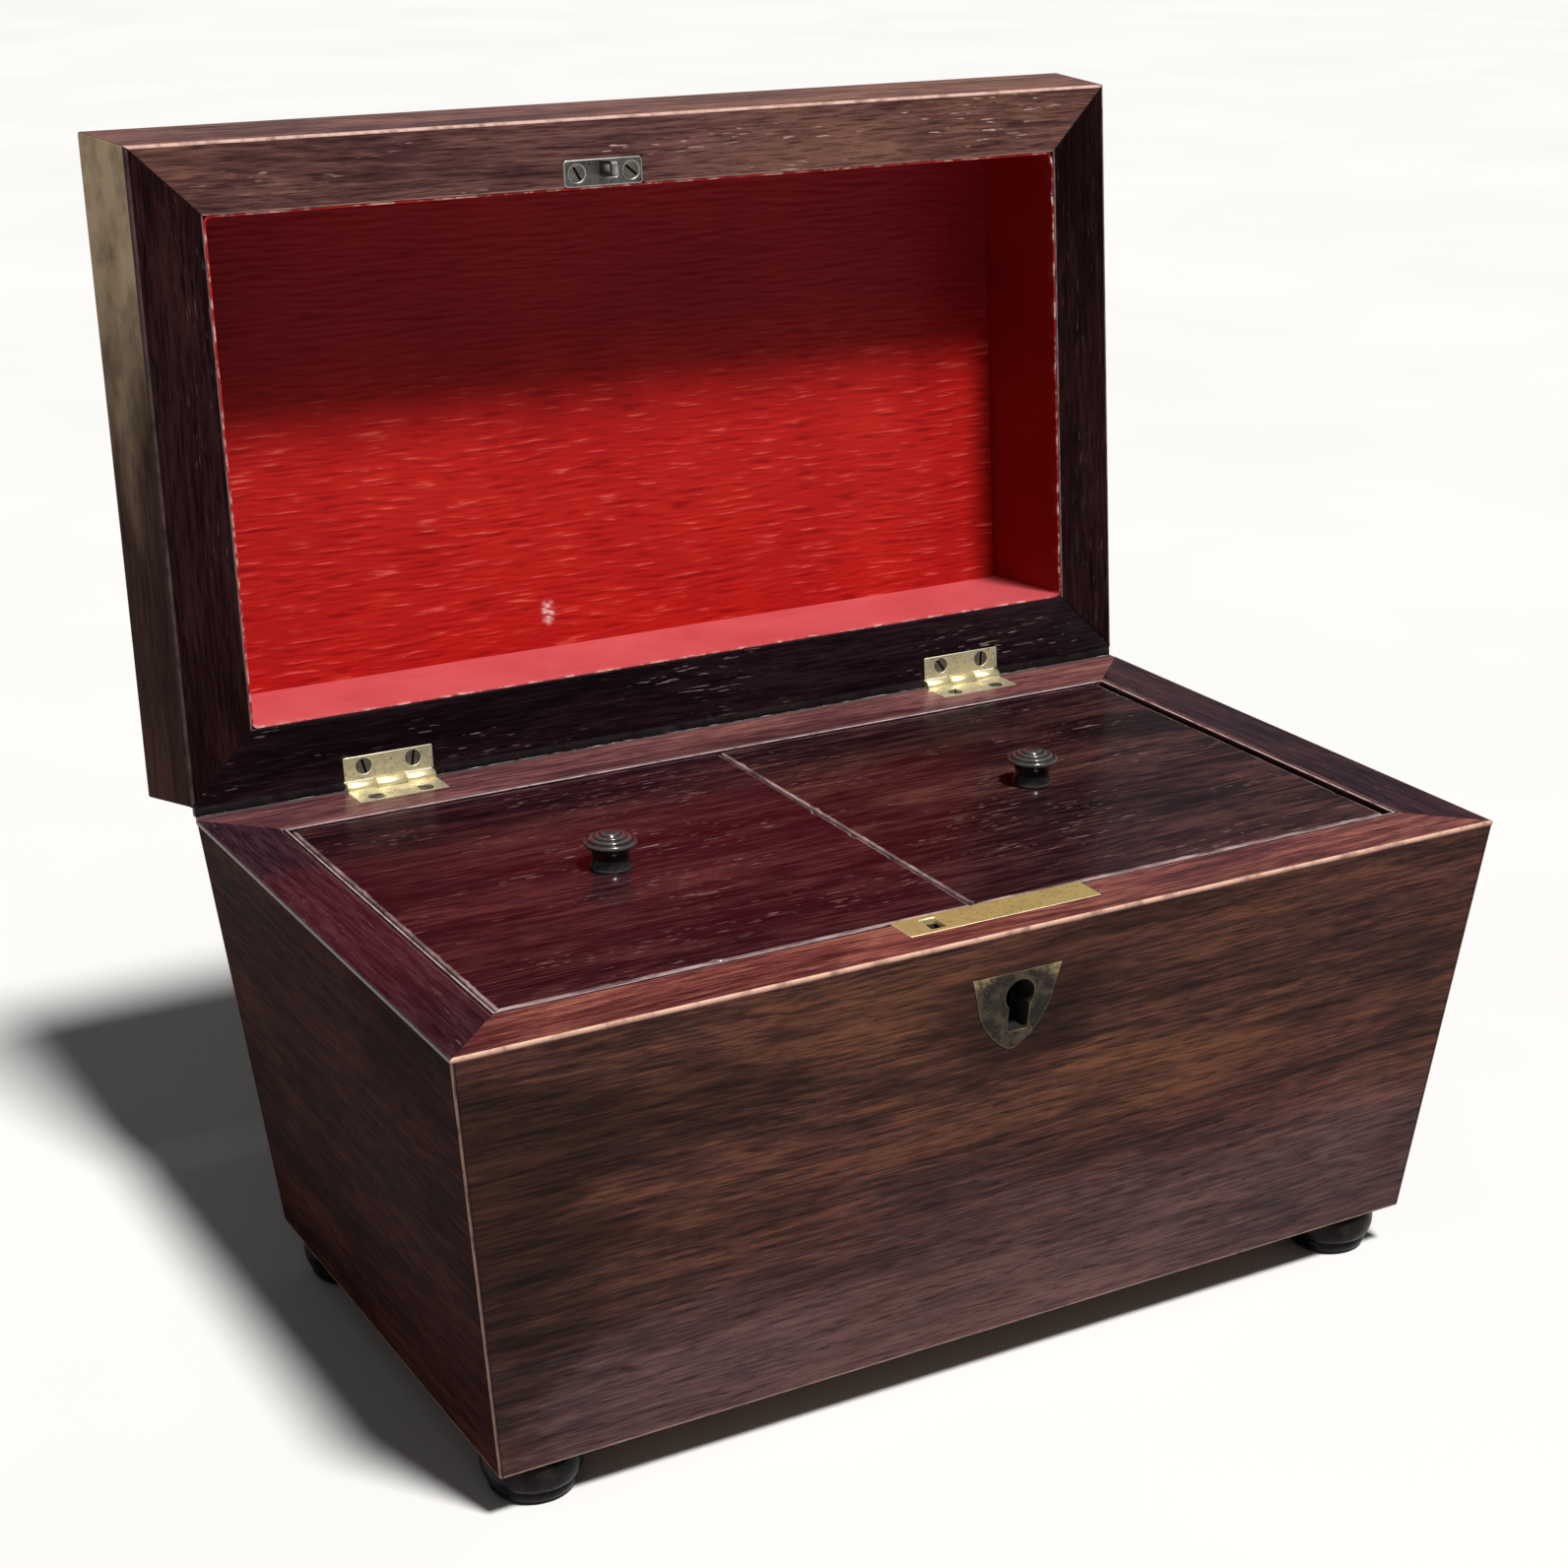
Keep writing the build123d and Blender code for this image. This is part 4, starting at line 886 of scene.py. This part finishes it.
plate_cutter = box_cutter(
    (LOCK_PLATE[0] - SEAT_GAP, LOCK_PLATE[2] - SEAT_GAP, RIM_Z - 2.0),
    (LOCK_PLATE[1] + SEAT_GAP, -50.0, RIM_Z + 2.0),
)
hinge_cutters = [
    box_cutter((x - HALF_HINGE, BODY_LEAF_Y - SEAT_GAP, RIM_Z - 1.5), (x + HALF_HINGE, 80.0, RIM_Z + 2.0))
    for x in HINGE_X
]
RIM_CUTTERS = {"front": [plate_cutter], "back": hinge_cutters}

for side in SIDES:
    wear = RIM_WEAR[side]
    bevel = 0.1 if side == "back" else 0.38
    profile = [(lean(UNDER_RIM), UNDER_RIM, 0.0), (lean(RIM_Z - bevel), RIM_Z - bevel, wear)]
    profile += [(inwards + 0.02, RIM_Z - bevel + up, wear) for inwards, up in quarter(bevel, (30, 60, 90))]
    profile += [(bevel + 0.12, RIM_Z, 0.0), (RIM_WIDTH - 0.5, RIM_Z, 0.0), (RIM_WIDTH - 0.42, RIM_Z, 0.3)]
    profile += [(RIM_WIDTH - 0.2, RIM_Z - 0.06, 0.5), (RIM_WIDTH, RIM_Z - 0.3, 0.3)]
    profile += [(RIM_WIDTH, UNDER_RIM, 0.0)]
    strip(
        f"{side}_rim_strip", side, profile, WOOD[RIMS[side]], "caddy_body",
        (f"rim_{side}",), dips=[i for i, point in enumerate(profile) if point[1] > RIM_Z - 0.1],
        dip=(0.0, -0.14), cutters=RIM_CUTTERS.get(side, ()), step=3.0,
    )

for side in SIDES:
    near, far, top = RIM_WIDTH + 0.02, RIM_WIDTH + BEAD_WIDTH - 0.03, RIM_Z - 0.52
    profile = [(near, LEDGE_Z, 0.0), (near, RIM_Z - 0.62, 0.0), (RIM_WIDTH + 0.16, RIM_Z - 0.5, 0.0)]
    # The bead's crown is painted pale: a painted highlight together with rubbed wear.
    for a in range(20, 181, 20):
        inwards, up = quarter(0.46, [a])[0]
        profile.append((RIM_WIDTH + 0.2 + inwards, top + up, 0.85 if 60 < a < 130 else 0.0))
    profile += [(far, RIM_Z - 0.75, 0.0), (far, LEDGE_Z, 0.0)]
    strip(
        f"bead_{side}", side, profile, WOOD["bead"], "caddy_body", ("bead_strips",),
        step=3.0, cutters=[plate_cutter] if side == "front" else (),
    )

drop(shield_cutter, plate_cutter, *hinge_cutters)

# ---------------------------------------------------------------- inner lids

INNER = {"left": (-104.3, -2.25, -55.0), "right": (-1.75, 103.0, 48.5)}
INNER_Y, INNER_TOP = 53.6, 103.7
KNOB_Y, KNOB_HOLE, HOLE_POINTS = 0.8, 2.0, 24
# The knob's half section as (radius, rise above the inner lid, wear): base, waisted stem, rolls and crown.
KNOB = [
    (KNOB_HOLE, -5.0, 0), (KNOB_HOLE, 0.0, 0), (4.3, 0.0, 0), (4.4, 0.15, 0), (4.4, 0.5, 0.2),
    *((3.75 + 0.65 * abs(1 - 2 * t) ** 1.6, 0.5 + 4.4 * t, 0.0) for t in (k / 10 for k in range(1, 10))),
    (4.6, 4.95, 0), (5.2, 5.15, 0), (5.5, 5.4, 0.2), (5.6, 5.7, 0.3), (5.52, 6.05, 0.25), (5.25, 6.3, 0.1),
    (4.85, 6.36, 0), (4.62, 6.22, 0), (4.5, 6.3, 0), (4.42, 6.62, 0.2), (4.15, 6.85, 0.25), (3.7, 6.88, 0.1),
    (3.4, 6.78, 0), (3.28, 6.84, 0), (3.2, 7.1, 0.2), (2.95, 7.32, 0.25), (2.5, 7.36, 0.1), (2.2, 7.27, 0),
    (2.1, 7.32, 0), (2.0, 7.55, 0.2), (1.8, 7.75, 0.25), (1.3, 7.86, 0.1), (0.7, 7.97, 0.1), (0.15, 8.0, 0.1),
]


def chipped(outline, seed):
    """Wear along the edges of an inner lid: the outline pulls in by chips of uneven size."""
    worn = []
    for (x, y), (ix, iy) in zip(outline, inset(outline, 1.0)):
        large = max(0.0, rough_noise(x, y, seed, 0.45)) ** 2 * 0.9
        bite = large + max(0.0, rough_noise(x, y, seed + 3, 1.4)) * 0.12
        worn.append((x + (ix - x) * bite, y + (iy - y) * bite))
    return worn


for number, (side, (x0, x1, knob_x)) in enumerate(INNER.items()):
    base = rectangle(x0, x1, -INNER_Y, INNER_Y, 0.5, 3, fine=1.1)
    top = chipped(base, number + 5)
    size = len(base)
    low, high = INNER_TOP - VENEER, INNER_TOP
    rows = [
        (base, 0.0, low, 0.0), (top, 0.0, high - 0.42, 0.55), (top, 0.14, high - 0.16, 0.9),
        (top, 0.42, high, 0.7), (top, 0.75, high, 0.0),
    ]
    places, worn = [], []
    for source, back, height, w in rows:
        for x, y in inset(source, back):
            places.append(world(x, y, height))
            patch = max(0.0, min(1.0, 0.5 + rough_noise(x, y, number + 9, 0.12) * 1.6))
            worn.append(w * (0.35 + 0.65 * patch))
    faces = [face for r in range(len(rows) - 1) for face in quads(r * size, (r + 1) * size, size)]
    rounded = range(len(faces))
    hole = ring(knob_x, KNOB_Y, KNOB_HOLE, HOLE_POINTS)
    hole_low = len(places)
    hole_high = hole_low + HOLE_POINTS
    places += [world(x, y, height) for height in (low, high) for x, y in hole]
    worn += [0.0] * (2 * HOLE_POINTS)
    faces += quads(hole_low, hole_high, HOLE_POINTS)
    under = [*range(size), *range(hole_low, hole_high)]
    upper = [*range(hole_low - size, hole_low), *range(hole_high, len(places))]
    faces += filled([base, hole], under) + filled([inset(top, 0.75), hole], upper)
    body = f"inner_lid_{side}"
    make(
        f"inner_lid_{side}_face", places, faces, WOOD[f"inner_{side}"], body,
        (f"inner_lid_{side}_veneer",), rounded, {"edge": worn},
    )
    profile = [(radius, INNER_TOP + rise, w) for radius, rise, w in KNOB]
    lathe(f"knob_{side}_turning", profile, (knob_x, KNOB_Y), EBONY, body, (f"knob_{side}",), 72)

# ---------------------------------------------------------------- feet

FOOT_X, FOOT_Y = 98.8, 48.5
FOOT = [
    (0.2, 0.0, 0), (6.6, 0.0, 0), (7.4, 0.06, 0.1), (8.3, 0.5, 0.1), (8.75, 1.15, 0.1), (8.98, 1.9, 0),
    (8.99, 2.5, 0), (8.88, 2.85, 0), (9.1, 2.95, 0),
    *(
        (8.75 + 1.55 * sin(radians(a)), 2.97 + 7.05 * (1 - cos(radians(a))) / 2, 0.0)
        for a in range(20, 180, 16)
    ),
    (8.4, 9.95, 0), (3.0, 10.0, 0), (3.0, 14.95, 0), (0.2, 15.0, 0),
]

for end, y in (("front", -FOOT_Y), ("back", FOOT_Y)):
    for hand, x in (("left", -FOOT_X), ("right", FOOT_X)):
        foot = f"foot_{end}_{hand}"
        lathe(f"{foot}_bun", FOOT, (x, y), FOOT_BLACK, "caddy_body", (foot,), 96)

# ---------------------------------------------------------------- lock plate and escutcheon

plate(
    "lock_face_plate", rectangle(*LOCK_PLATE, 0.45, 3), [rectangle(-15.9, -12.3, -60.8, -55.8, 0.25, 2)],
    RIM_Z - 1.2, RIM_Z, 0.22, world, BRASS_PLATE, "caddy_body", ("lock_plate",), 0.8,
)
plate(
    "keyhole_shield", anticlockwise(shield_outline()), [anticlockwise(keyhole_outline())], -1.0, 0.15, 0.12,
    front_face, BRASS_DARK, "caddy_body", ("escutcheon",), 0.35,
)

# ---------------------------------------------------------------- lid woodwork

LID_RIMS = {"front": "lid_rim_long", "right": "lid_rim_short", "back": "lid_rim_back", "left": "lid_rim_short"}
BANDS = {"front": "band_long", "right": "band_right", "back": "lid_top", "left": "band_left"}
ROOFS = {**BANDS, "front": "lid_top"}
LID_RIM_WEAR = {"front": 1.0, "left": 0.12, "right": 0.35, "back": 0.1}
LID_FACE = 0.05
TOP_H = LID_HEIGHT - LID_TOP_VENEER

keeper_cutter = box_cutter(
    (KEEPER[0] - SEAT_GAP, KEEPER[2] - SEAT_GAP, -2.0), (KEEPER[1] + SEAT_GAP, -54.0, 3.0), lid
)
leaf_cutters = [
    box_cutter((x - HALF_HINGE, LID_LEAF_Y - SEAT_GAP, -2.0), (x + HALF_HINGE, 80.0, 3.0), lid) for x in HINGE_X
]
LID_CUTTERS = {"front": [keeper_cutter], "back": leaf_cutters}

for side in SIDES:
    wear = LID_RIM_WEAR[side]
    bevel = 0.1 if side == "back" else 0.55
    profile = [(-flare(VENEER), VENEER, 0.0)]
    profile += [(inwards, LID_FACE + bevel - down, wear) for inwards, down in quarter(bevel, (0, 30, 60, 90))]
    profile += [(bevel + 0.12, LID_FACE, 0.0), (LID_WALL - 0.45, LID_FACE, 0.0)]
    profile += [(LID_WALL - 0.38, LID_FACE, 0.3), (LID_WALL - 0.12, 0.12, 0.45)]
    profile += [(LID_WALL, 0.35, 0.3), (LID_WALL, VENEER, 0.0)]
    strip(
        f"lid_{side}_rim_strip", side, profile, WOOD[LID_RIMS[side]], "lid",
        (f"lid_rim_{side}",), lid, 3.0, [i for i, point in enumerate(profile) if point[1] < 0.15], (0.0, 0.14),
        LID_CUTTERS.get(side, ()),
    )
    profile = [(-flare(h), h, 0.0) for h in (1.0, 4.8, 8.6, 12.4, 16.2, 20.0, 23.6)]
    profile += [(0.06 - flare(LID_BAND - 0.12), LID_BAND - 0.12, 0.3), (0.14 - flare(LID_BAND), LID_BAND, 0.3)]
    profile += [(VENEER - flare(LID_BAND), LID_BAND, 0.0), (VENEER - flare(VENEER), VENEER, 0.0)]
    strip(
        f"lid_{side}_band", side, profile, WOOD[BANDS[side]], "lid", (f"lid_{side}_veneer",),
        lid, dips=range(len(profile) - 2), dip=(0.14, 0.0),
    )
    rises = [LID_BAND + (TOP_H - LID_BAND) * k / 5 for k in range(6)]
    profile = [(roof(LID_BAND) + 0.14, LID_BAND, 0.3)] + [(roof(h), h, 0.0) for h in rises[1:]]
    profile += [(roof(TOP_H) + VENEER, TOP_H, 0.0), (VENEER - flare(LID_BAND), LID_BAND, 0.0)]
    strip(
        f"lid_{side}_roof", side, profile, WOOD[ROOFS[side]], "lid", ("lid_roof_veneers",),
        lid, dips=range(len(rises)), dip=(0.14, 0.0),
    )

drop(keeper_cutter, *leaf_cutters)

half_x, half_y = WIDTH / 2 - (LID_TOP_INSET - 0.6), DEPTH / 2 - (LID_TOP_INSET - 0.6)
outline = rectangle(-half_x, half_x, -half_y, half_y, 1.0, 3, fine=6.0)
plate(
    "lid_top_face", outline, [], TOP_H, LID_HEIGHT - 0.02, 0.6, lid, WOOD["lid_top"], "lid",
    ("lid_top_veneer",), 0.3,
)

# ---------------------------------------------------------------- lips along the back edges

LIP_SPANS = ((-119.5, -85.6), (-64.4, 64.4), (85.6, 119.5))


def x_bars(name, section, material, body, place):
    """Bars along X with one closed section of (y, height, wear), one for each stretch between the hinges."""
    places, worn, faces = [], [], []
    size = len(section)
    for x0, x1 in LIP_SPANS:
        start, count = len(places), int((x1 - x0) / 2.0)
        for n in range(count + 1):
            x = x0 + (x1 - x0) * n / count
            for y, h, w in section:
                dent = max(0.0, rough_noise(x, h, size, 0.5)) * 0.12 if w > 0.3 else 0.0
                places.append(place(x, y - dent, h))
                worn.append(w)
        for n in range(count):
            faces += quads(start + n * size, start + (n + 1) * size, size)
        faces += [tuple(first + i for i in range(size)) for first in (start, start + count * size)]
    make(name, places, faces, material, body, (), True, {"edge": worn}, 50)


back, low = DEPTH / 2, RIM_Z - 1.6
out = back + 2.05
section = [(back, RIM_Z, 0.1), (back - lean(low), low, 0.0), (out - 0.3, low, 0.1), (out, low + 0.3, 0.4)]
section += [(out, RIM_Z - 0.1, 0.8), (out - 0.03, RIM_Z - 0.03, 1.0), (out - 0.1, RIM_Z, 0.9)]
section += [(back + 0.4, RIM_Z, 0.3)]
x_bars("back_rim_lip", section, WOOD["rim_back"], "caddy_body", world)
out = back + 2.2
section = [(back, LID_FACE, 0.0), (back + 0.4, LID_FACE, 0.6), (out - 0.06, LID_FACE, 0.8), (out, 0.12, 0.9)]
section += [(out, 1.35, 0.4), (out - 0.25, 1.65, 0.2), (back + flare(1.65), 1.65, 0.0)]
section += [(back + flare(1.0), 1.0, 0.0)]
x_bars("lid_back_rim_lip", section, WOOD["lid_rim_back"], "lid", lid)

# ---------------------------------------------------------------- lid lining

PANEL_X, PANEL_Y = WIDTH / 2 - LID_WALL, DEPTH / 2 - LID_WALL
COLUMNS, ROWS = 230, 460
ACROSS = COLUMNS + 1
SCUFF_X, SCUFF_Y = -21.0, 45.5


def crinkle(x, y):
    """How far a crêpe rib stands up, from 0 to 1: fine wavy ribs, each a centimetre or so long."""
    drift = noise.noise(Vector((x * 0.03, y * 0.03, 1.0))) * 1.6
    first = noise.noise(Vector((x * 0.09, y * 0.98 + drift, 4.0)))
    second = noise.noise(Vector((x * 0.17, y * 1.75 + drift, 9.0)))
    return max(0.0, min(1.0, 0.5 + 0.62 * first + 0.50 * second))


def panel_xy(r, c):
    """A point of the panel's grid, by row and column."""
    return -PANEL_X + 2 * PANEL_X * c / COLUMNS, -PANEL_Y + 2 * PANEL_Y * r / ROWS


places, crest, scuffs = [], [], []
for r in range(ROWS + 1):
    for c in range(ACROSS):
        x, y = panel_xy(r, c)
        rib = crinkle(x, y)
        swell = 0.12 * noise.noise(Vector((x * 0.02, y * 0.02, 2.0)))
        places.append(lid(x, y, LID_HOLLOW - 0.12 - 0.20 * rib + swell))
        crest.append(rib)
        away = hypot((x - SCUFF_X) / 1.6, (y - SCUFF_Y) / 3.0)
        spot = noise.noise(Vector((x * 0.9, y * 0.9, 6.0)))
        scuffs.append(max(0.0, min(1.0, (1.2 - away) * 1.2)) * (0.9 if spot > -0.05 else 0.1))
faces = [
    (r * ACROSS + c, r * ACROSS + c + 1, (r + 1) * ACROSS + c + 1, (r + 1) * ACROSS + c)
    for r in range(ROWS) for c in range(COLUMNS)
]
ribbed = range(len(faces))
# The panel's edge, anticlockwise, and the same points again behind it to close the sheet.
border = [(0, c) for c in range(ACROSS)] + [(r, COLUMNS) for r in range(1, ROWS + 1)]
border += [(ROWS, c) for c in range(COLUMNS - 1, -1, -1)] + [(r, 0) for r in range(ROWS - 1, 0, -1)]
hidden, count = len(places), len(border)
places += [lid(*panel_xy(r, c), LID_HOLLOW + 0.4) for r, c in border]
crest += [0.5] * count
scuffs += [0.0] * count
edge = [r * ACROSS + c for r, c in border]
faces += [(edge[k], edge[(k + 1) % count], hidden + (k + 1) % count, hidden + k) for k in range(count)]
faces.append(tuple(range(hidden, hidden + count)))
make(
    "lid_lining_crepe", places, faces, PAPER_PANEL, "lid", ("lid_lining_panel",),
    ribbed, {"crest": crest, "scuff": scuffs}, 60,
)

PAPER_ROWS = (0.0, 0.06, 0.6, 4.0, 8.0, 12.0, 16.0, 20.0, 24.0, 28.0, 30.3)
PAPER_TOP, PAPER_GAP = 30.4, 0.4
FRAYED = {0: 0.95, 1: 0.9, 2: 0.15}


def ragged(x, y):
    """How far the paper's edge lies back from the rim, in millimetres."""
    slow = max(0.0, noise.noise(Vector((x * 0.05, y * 0.05, 3.0))))
    quick = max(0.0, noise.noise(Vector((x * 0.5, y * 0.5, 5.0))))
    return 0.25 + 0.9 * slow * quick * 2 + 0.25 * quick


def behind(value, limit):
    """A coordinate moved outwards to the paper's hidden face, and no further than the lid's wall."""
    return max(-limit, min(limit, value + (0.35 if value > 0 else -0.35)))


half_x, half_y = PANEL_X - PAPER_GAP, PANEL_Y - PAPER_GAP
outline = rectangle(-half_x, half_x, -half_y, half_y, 1.4, 5, fine=2.0)
size = len(outline)
places, worn, faces = [], [], []
for n, up in enumerate(PAPER_ROWS):
    for x, y in outline:
        h = up + ragged(x, y) * max(0.0, 1 - up / 4.0)
        bulge = 0.05 * noise.noise(Vector((x * 0.06, y * 0.06, h * 0.1)))
        towards = 1 - (0.05 + bulge) / 100 if n else 1.0015
        places.append(lid(x * towards, y * towards, min(h, PAPER_TOP)))
        worn.append(FRAYED.get(n, 0.0) * (0.3 + 0.7 * min(1.0, ragged(x, y) - 0.1)))
places += [lid(behind(x, PANEL_X), behind(y, PANEL_Y), PAPER_TOP) for x, y in outline]
places += [lid(behind(x, PANEL_X), behind(y, PANEL_Y), ragged(x, y)) for x, y in outline]
worn += [0.0] * size + [0.9] * size
for start in range(0, len(places), size):
    faces += quads(start, (start + size) % len(places), size)
make(
    "lid_lining_band", places, faces, PAPER_SIDES, "lid", ("lid_lining_sides",),
    True, {"edge": worn}, 50,
)

# ---------------------------------------------------------------- hinges

KNUCKLE = HINGE_LENGTH / 3
PLATE_LOW, PLATE_HIGH = -1.0, -0.05
SCREW_RADIUS, SCREW_HOLE = 1.8, 1.85


def knuckle(x0, x1):
    """One closed barrel section round the hinge axis with softened ends."""
    bore, ease, count = 0.72, BARREL - 0.16, 32
    rows = [(x0, bore), (x0, ease), (x0 + 0.14, BARREL), (x1 - 0.14, BARREL), (x1, ease), (x1, bore)]
    places = [world(x, y, z) for x, radius in rows for y, z in ring(HINGE_Y, RIM_Z, radius, count)]
    worn = [0.35 if radius > 1 else 0.0 for _, radius in rows for _ in range(count)]
    last = len(rows) - 1
    faces = [face for r in range(last) for face in quads(r * count, (r + 1) * count, count)]
    return places, faces + quads(0, last * count, count), [], worn


def hinge_half(side, x, part, front_y, screw_y, thirds, place, body):
    """One leaf with the tongues that run to its knuckles, and its knuckles as a second piece."""
    start, back_y = x - HINGE_LENGTH / 2, HINGE_Y - BARREL - 0.25
    holes = [ring(x + d, screw_y, SCREW_HOLE, 32) for d in (-SCREW_SPREAD, SCREW_SPREAD)]
    outline = rectangle(start, start + HINGE_LENGTH, front_y, back_y, 0.3, 2)
    meshes = [plate_mesh(outline, holes, PLATE_LOW, PLATE_HIGH, 0.16, place, 0.6, margin=0.1)]
    front, back = back_y - 0.3, HINGE_Y - 0.9
    for k in thirds:
        x0, x1 = start + k * KNUCKLE + 0.05, start + (k + 1) * KNUCKLE - 0.05
        corners = [(x0, front), (x1, front), (x1, back), (x0, back)]
        places = [place(cx, cy, h) for h in (PLATE_LOW + 0.02, PLATE_HIGH - 0.02) for cx, cy in corners]
        meshes.append((places, [(0, 1, 2, 3), (4, 5, 6, 7), *quads(0, 4, 4)], [], [0.1] * 8))
    name, replaced = f"hinge_{side}_{part}_leaf_plate", (f"hinge_{side}_{part}_leaf",)
    places, faces, rounded, worn = join(*meshes)
    make(name, places, faces, BRASS_LEAF, body, replaced, rounded, {"edge": worn})
    barrels = [knuckle(start + k * KNUCKLE + 0.06, start + (k + 1) * KNUCKLE - 0.06) for k in thirds]
    places, faces, _, worn = join(*barrels)
    name = name.replace("leaf", "knuckles")
    make(name, places, faces, BRASS_BARREL, body, (), True, {"edge": worn}, 60)


def screw_head(cx, cy, turn, place):
    """A slotted countersunk head and the dark floor of its slot."""
    half, half_length, side_gap = 0.27, 1.66, 0.05
    a = radians(turn)

    def at(x, y, h):
        return place(cx + x * cos(a) - y * sin(a), cy + x * sin(a) + y * cos(a), h)

    slot = rectangle(-half_length, half_length, -half, half, 0.1, 1)
    head = plate_mesh(ring(0, 0, SCREW_RADIUS, 40), [slot], -0.85, -0.02, 0.12, at, 0.15, 2)
    long, wide = half_length + side_gap, half + side_gap
    places, faces, _, worn = plate_mesh(rectangle(-long, long, -wide, wide), [], -0.84, -0.5, 0.02, at, 0.0, 1)
    return head, (places, faces, [], worn)


def screws(name, seats, place, body, replaced):
    """Screw heads at seats of (x, y, turn of the slot in degrees)."""
    heads = [screw_head(cx, cy, turn, place) for cx, cy, turn in seats]
    # The slot floors are marked to go near black.
    dark_joints_and_slot_floors = [dark for head in heads for dark, mesh in enumerate(head) for _ in mesh[0]]
    places, faces, rounded, worn = join(*(mesh for head in heads for mesh in head))
    make(name, places, faces, SCREW_STEEL, body, replaced, rounded, {"edge": worn, "dark_joints_and_slot_floors": dark_joints_and_slot_floors})


BODY_TURNS = {-80.8: 20, -69.2: -35, 69.2: 60, 80.8: 10}
LID_TURNS = {-80.8: 75, -69.2: 100, 69.2: 55, 80.8: 95}

for side, x in zip(("left", "right"), HINGE_X):
    hinge_half(side, x, "body", BODY_LEAF_Y, BODY_SCREW_Y, (0, 2), on_rim, "caddy_body")
    hinge_half(side, x, "lid", LID_LEAF_Y, LID_SCREW_Y, (1,), on_lid_edge, "lid")

seats = [(x, BODY_SCREW_Y, turn) for x, turn in BODY_TURNS.items()]
screws("hinge_body_screw_heads", seats, on_rim, "caddy_body", ("hinge_body_screws",))
seats = [(x, LID_SCREW_Y, turn) for x, turn in LID_TURNS.items()]
screws("hinge_lid_screw_heads", seats, on_lid_edge, "lid", ("hinge_lid_screws",))

# ---------------------------------------------------------------- keeper

KEEPER_SCREWS = (-20.4, -7.2)
KEEPER_Y = (KEEPER[2] + KEEPER[3]) / 2
holes = [ring(x, KEEPER_Y, SCREW_HOLE, 32) for x in KEEPER_SCREWS]
holes.append(rectangle(-12.6, -10.7, KEEPER_Y - 1.1, KEEPER_Y + 1.1, 0.1, 1))
keeper_plate = plate_mesh(
    rectangle(*KEEPER, 0.9, 4), holes, PLATE_LOW, PLATE_HIGH, 0.2, on_lid_edge, 0.7, margin=0.2
)
staple = plate_mesh(
    rectangle(-60.0, -56.6, -0.6, 6.2, 0.9, 5), [rectangle(-59.25, -57.35, 2.0, 5.2, 0.4, 4)],
    -14.9, -13.3, 0.25, lambda y, h, x: on_lid_edge(x, y, h), 0.8,
)
places, faces, rounded, worn = join(keeper_plate, staple)
make(
    "keeper_plate_and_staple", places, faces, KEEPER_STEEL, "lid", ("keeper",),
    rounded, {"edge": worn},
)
seats = [(KEEPER_SCREWS[0], KEEPER_Y, 62), (KEEPER_SCREWS[1], KEEPER_Y, 40)]
screws("keeper_screw_heads", seats, on_lid_edge, "lid", ("keeper_screws",))

# ---------------------------------------------------------------- carried-over CAD nodes

BOARDS = (
    "bottom_board", "front_board", "back_board", "left_board", "right_board", "well_boards", "divider",
    "inner_lid_left_board", "inner_lid_right_board",
    "lid_front_board", "lid_back_board", "lid_left_board", "lid_right_board", "lid_top_board",
)
LOCK_WORKS = ("lock_case", "lock_cap", "lock_drill_pin", "lock_spring", "lock_bolt")
CARRIED = {CARCASS: BOARDS, FOIL: ("foil_linings",), LOCK_STEEL: LOCK_WORKS, BRASS_BARREL: ("hinge_pins",)}
for material, names in CARRIED.items():
    for name in names:
        holder = nodes[name]
        if not holder.material_slots:
            holder.data.materials.append(material)
        for holder_slot in holder.material_slots:
            holder_slot.material = material

# ---------------------------------------------------------------- floor


def floor_material():
    """Pale grey paper under the object, faintly cloudy."""
    s = Shader("studio_floor")
    at = s.coords()
    cloudy = s.noise(at, 0.004, 3.0)
    grain = s.noise(at, 1.5, 2.0)
    colour = s.mix(s.fade(cloudy, 0.3, 0.7), (0.60, 0.60, 0.60), (0.625, 0.625, 0.625))
    s.set(Base_Color=colour, Roughness=s.fade(grain, 0.2, 0.8, 0.7, 0.8), Normal=s.bump(grain, 0.05, 0.0001))
    s.set(Specular_IOR_Level=0.1)
    return s.material


floor_mesh = bpy.data.meshes.new("floor")
corners = [(-8, -8, 0), (8, -8, 0), (8, 12, 0), (-8, 12, 0)]
floor_mesh.from_pydata(corners, [], [(0, 1, 2, 3)])
floor_mesh.materials.append(floor_material())
floor = bpy.data.objects.new("floor", floor_mesh)
scene.collection.objects.link(floor)

# ---------------------------------------------------------------- scene update


bpy.context.view_layer.update()
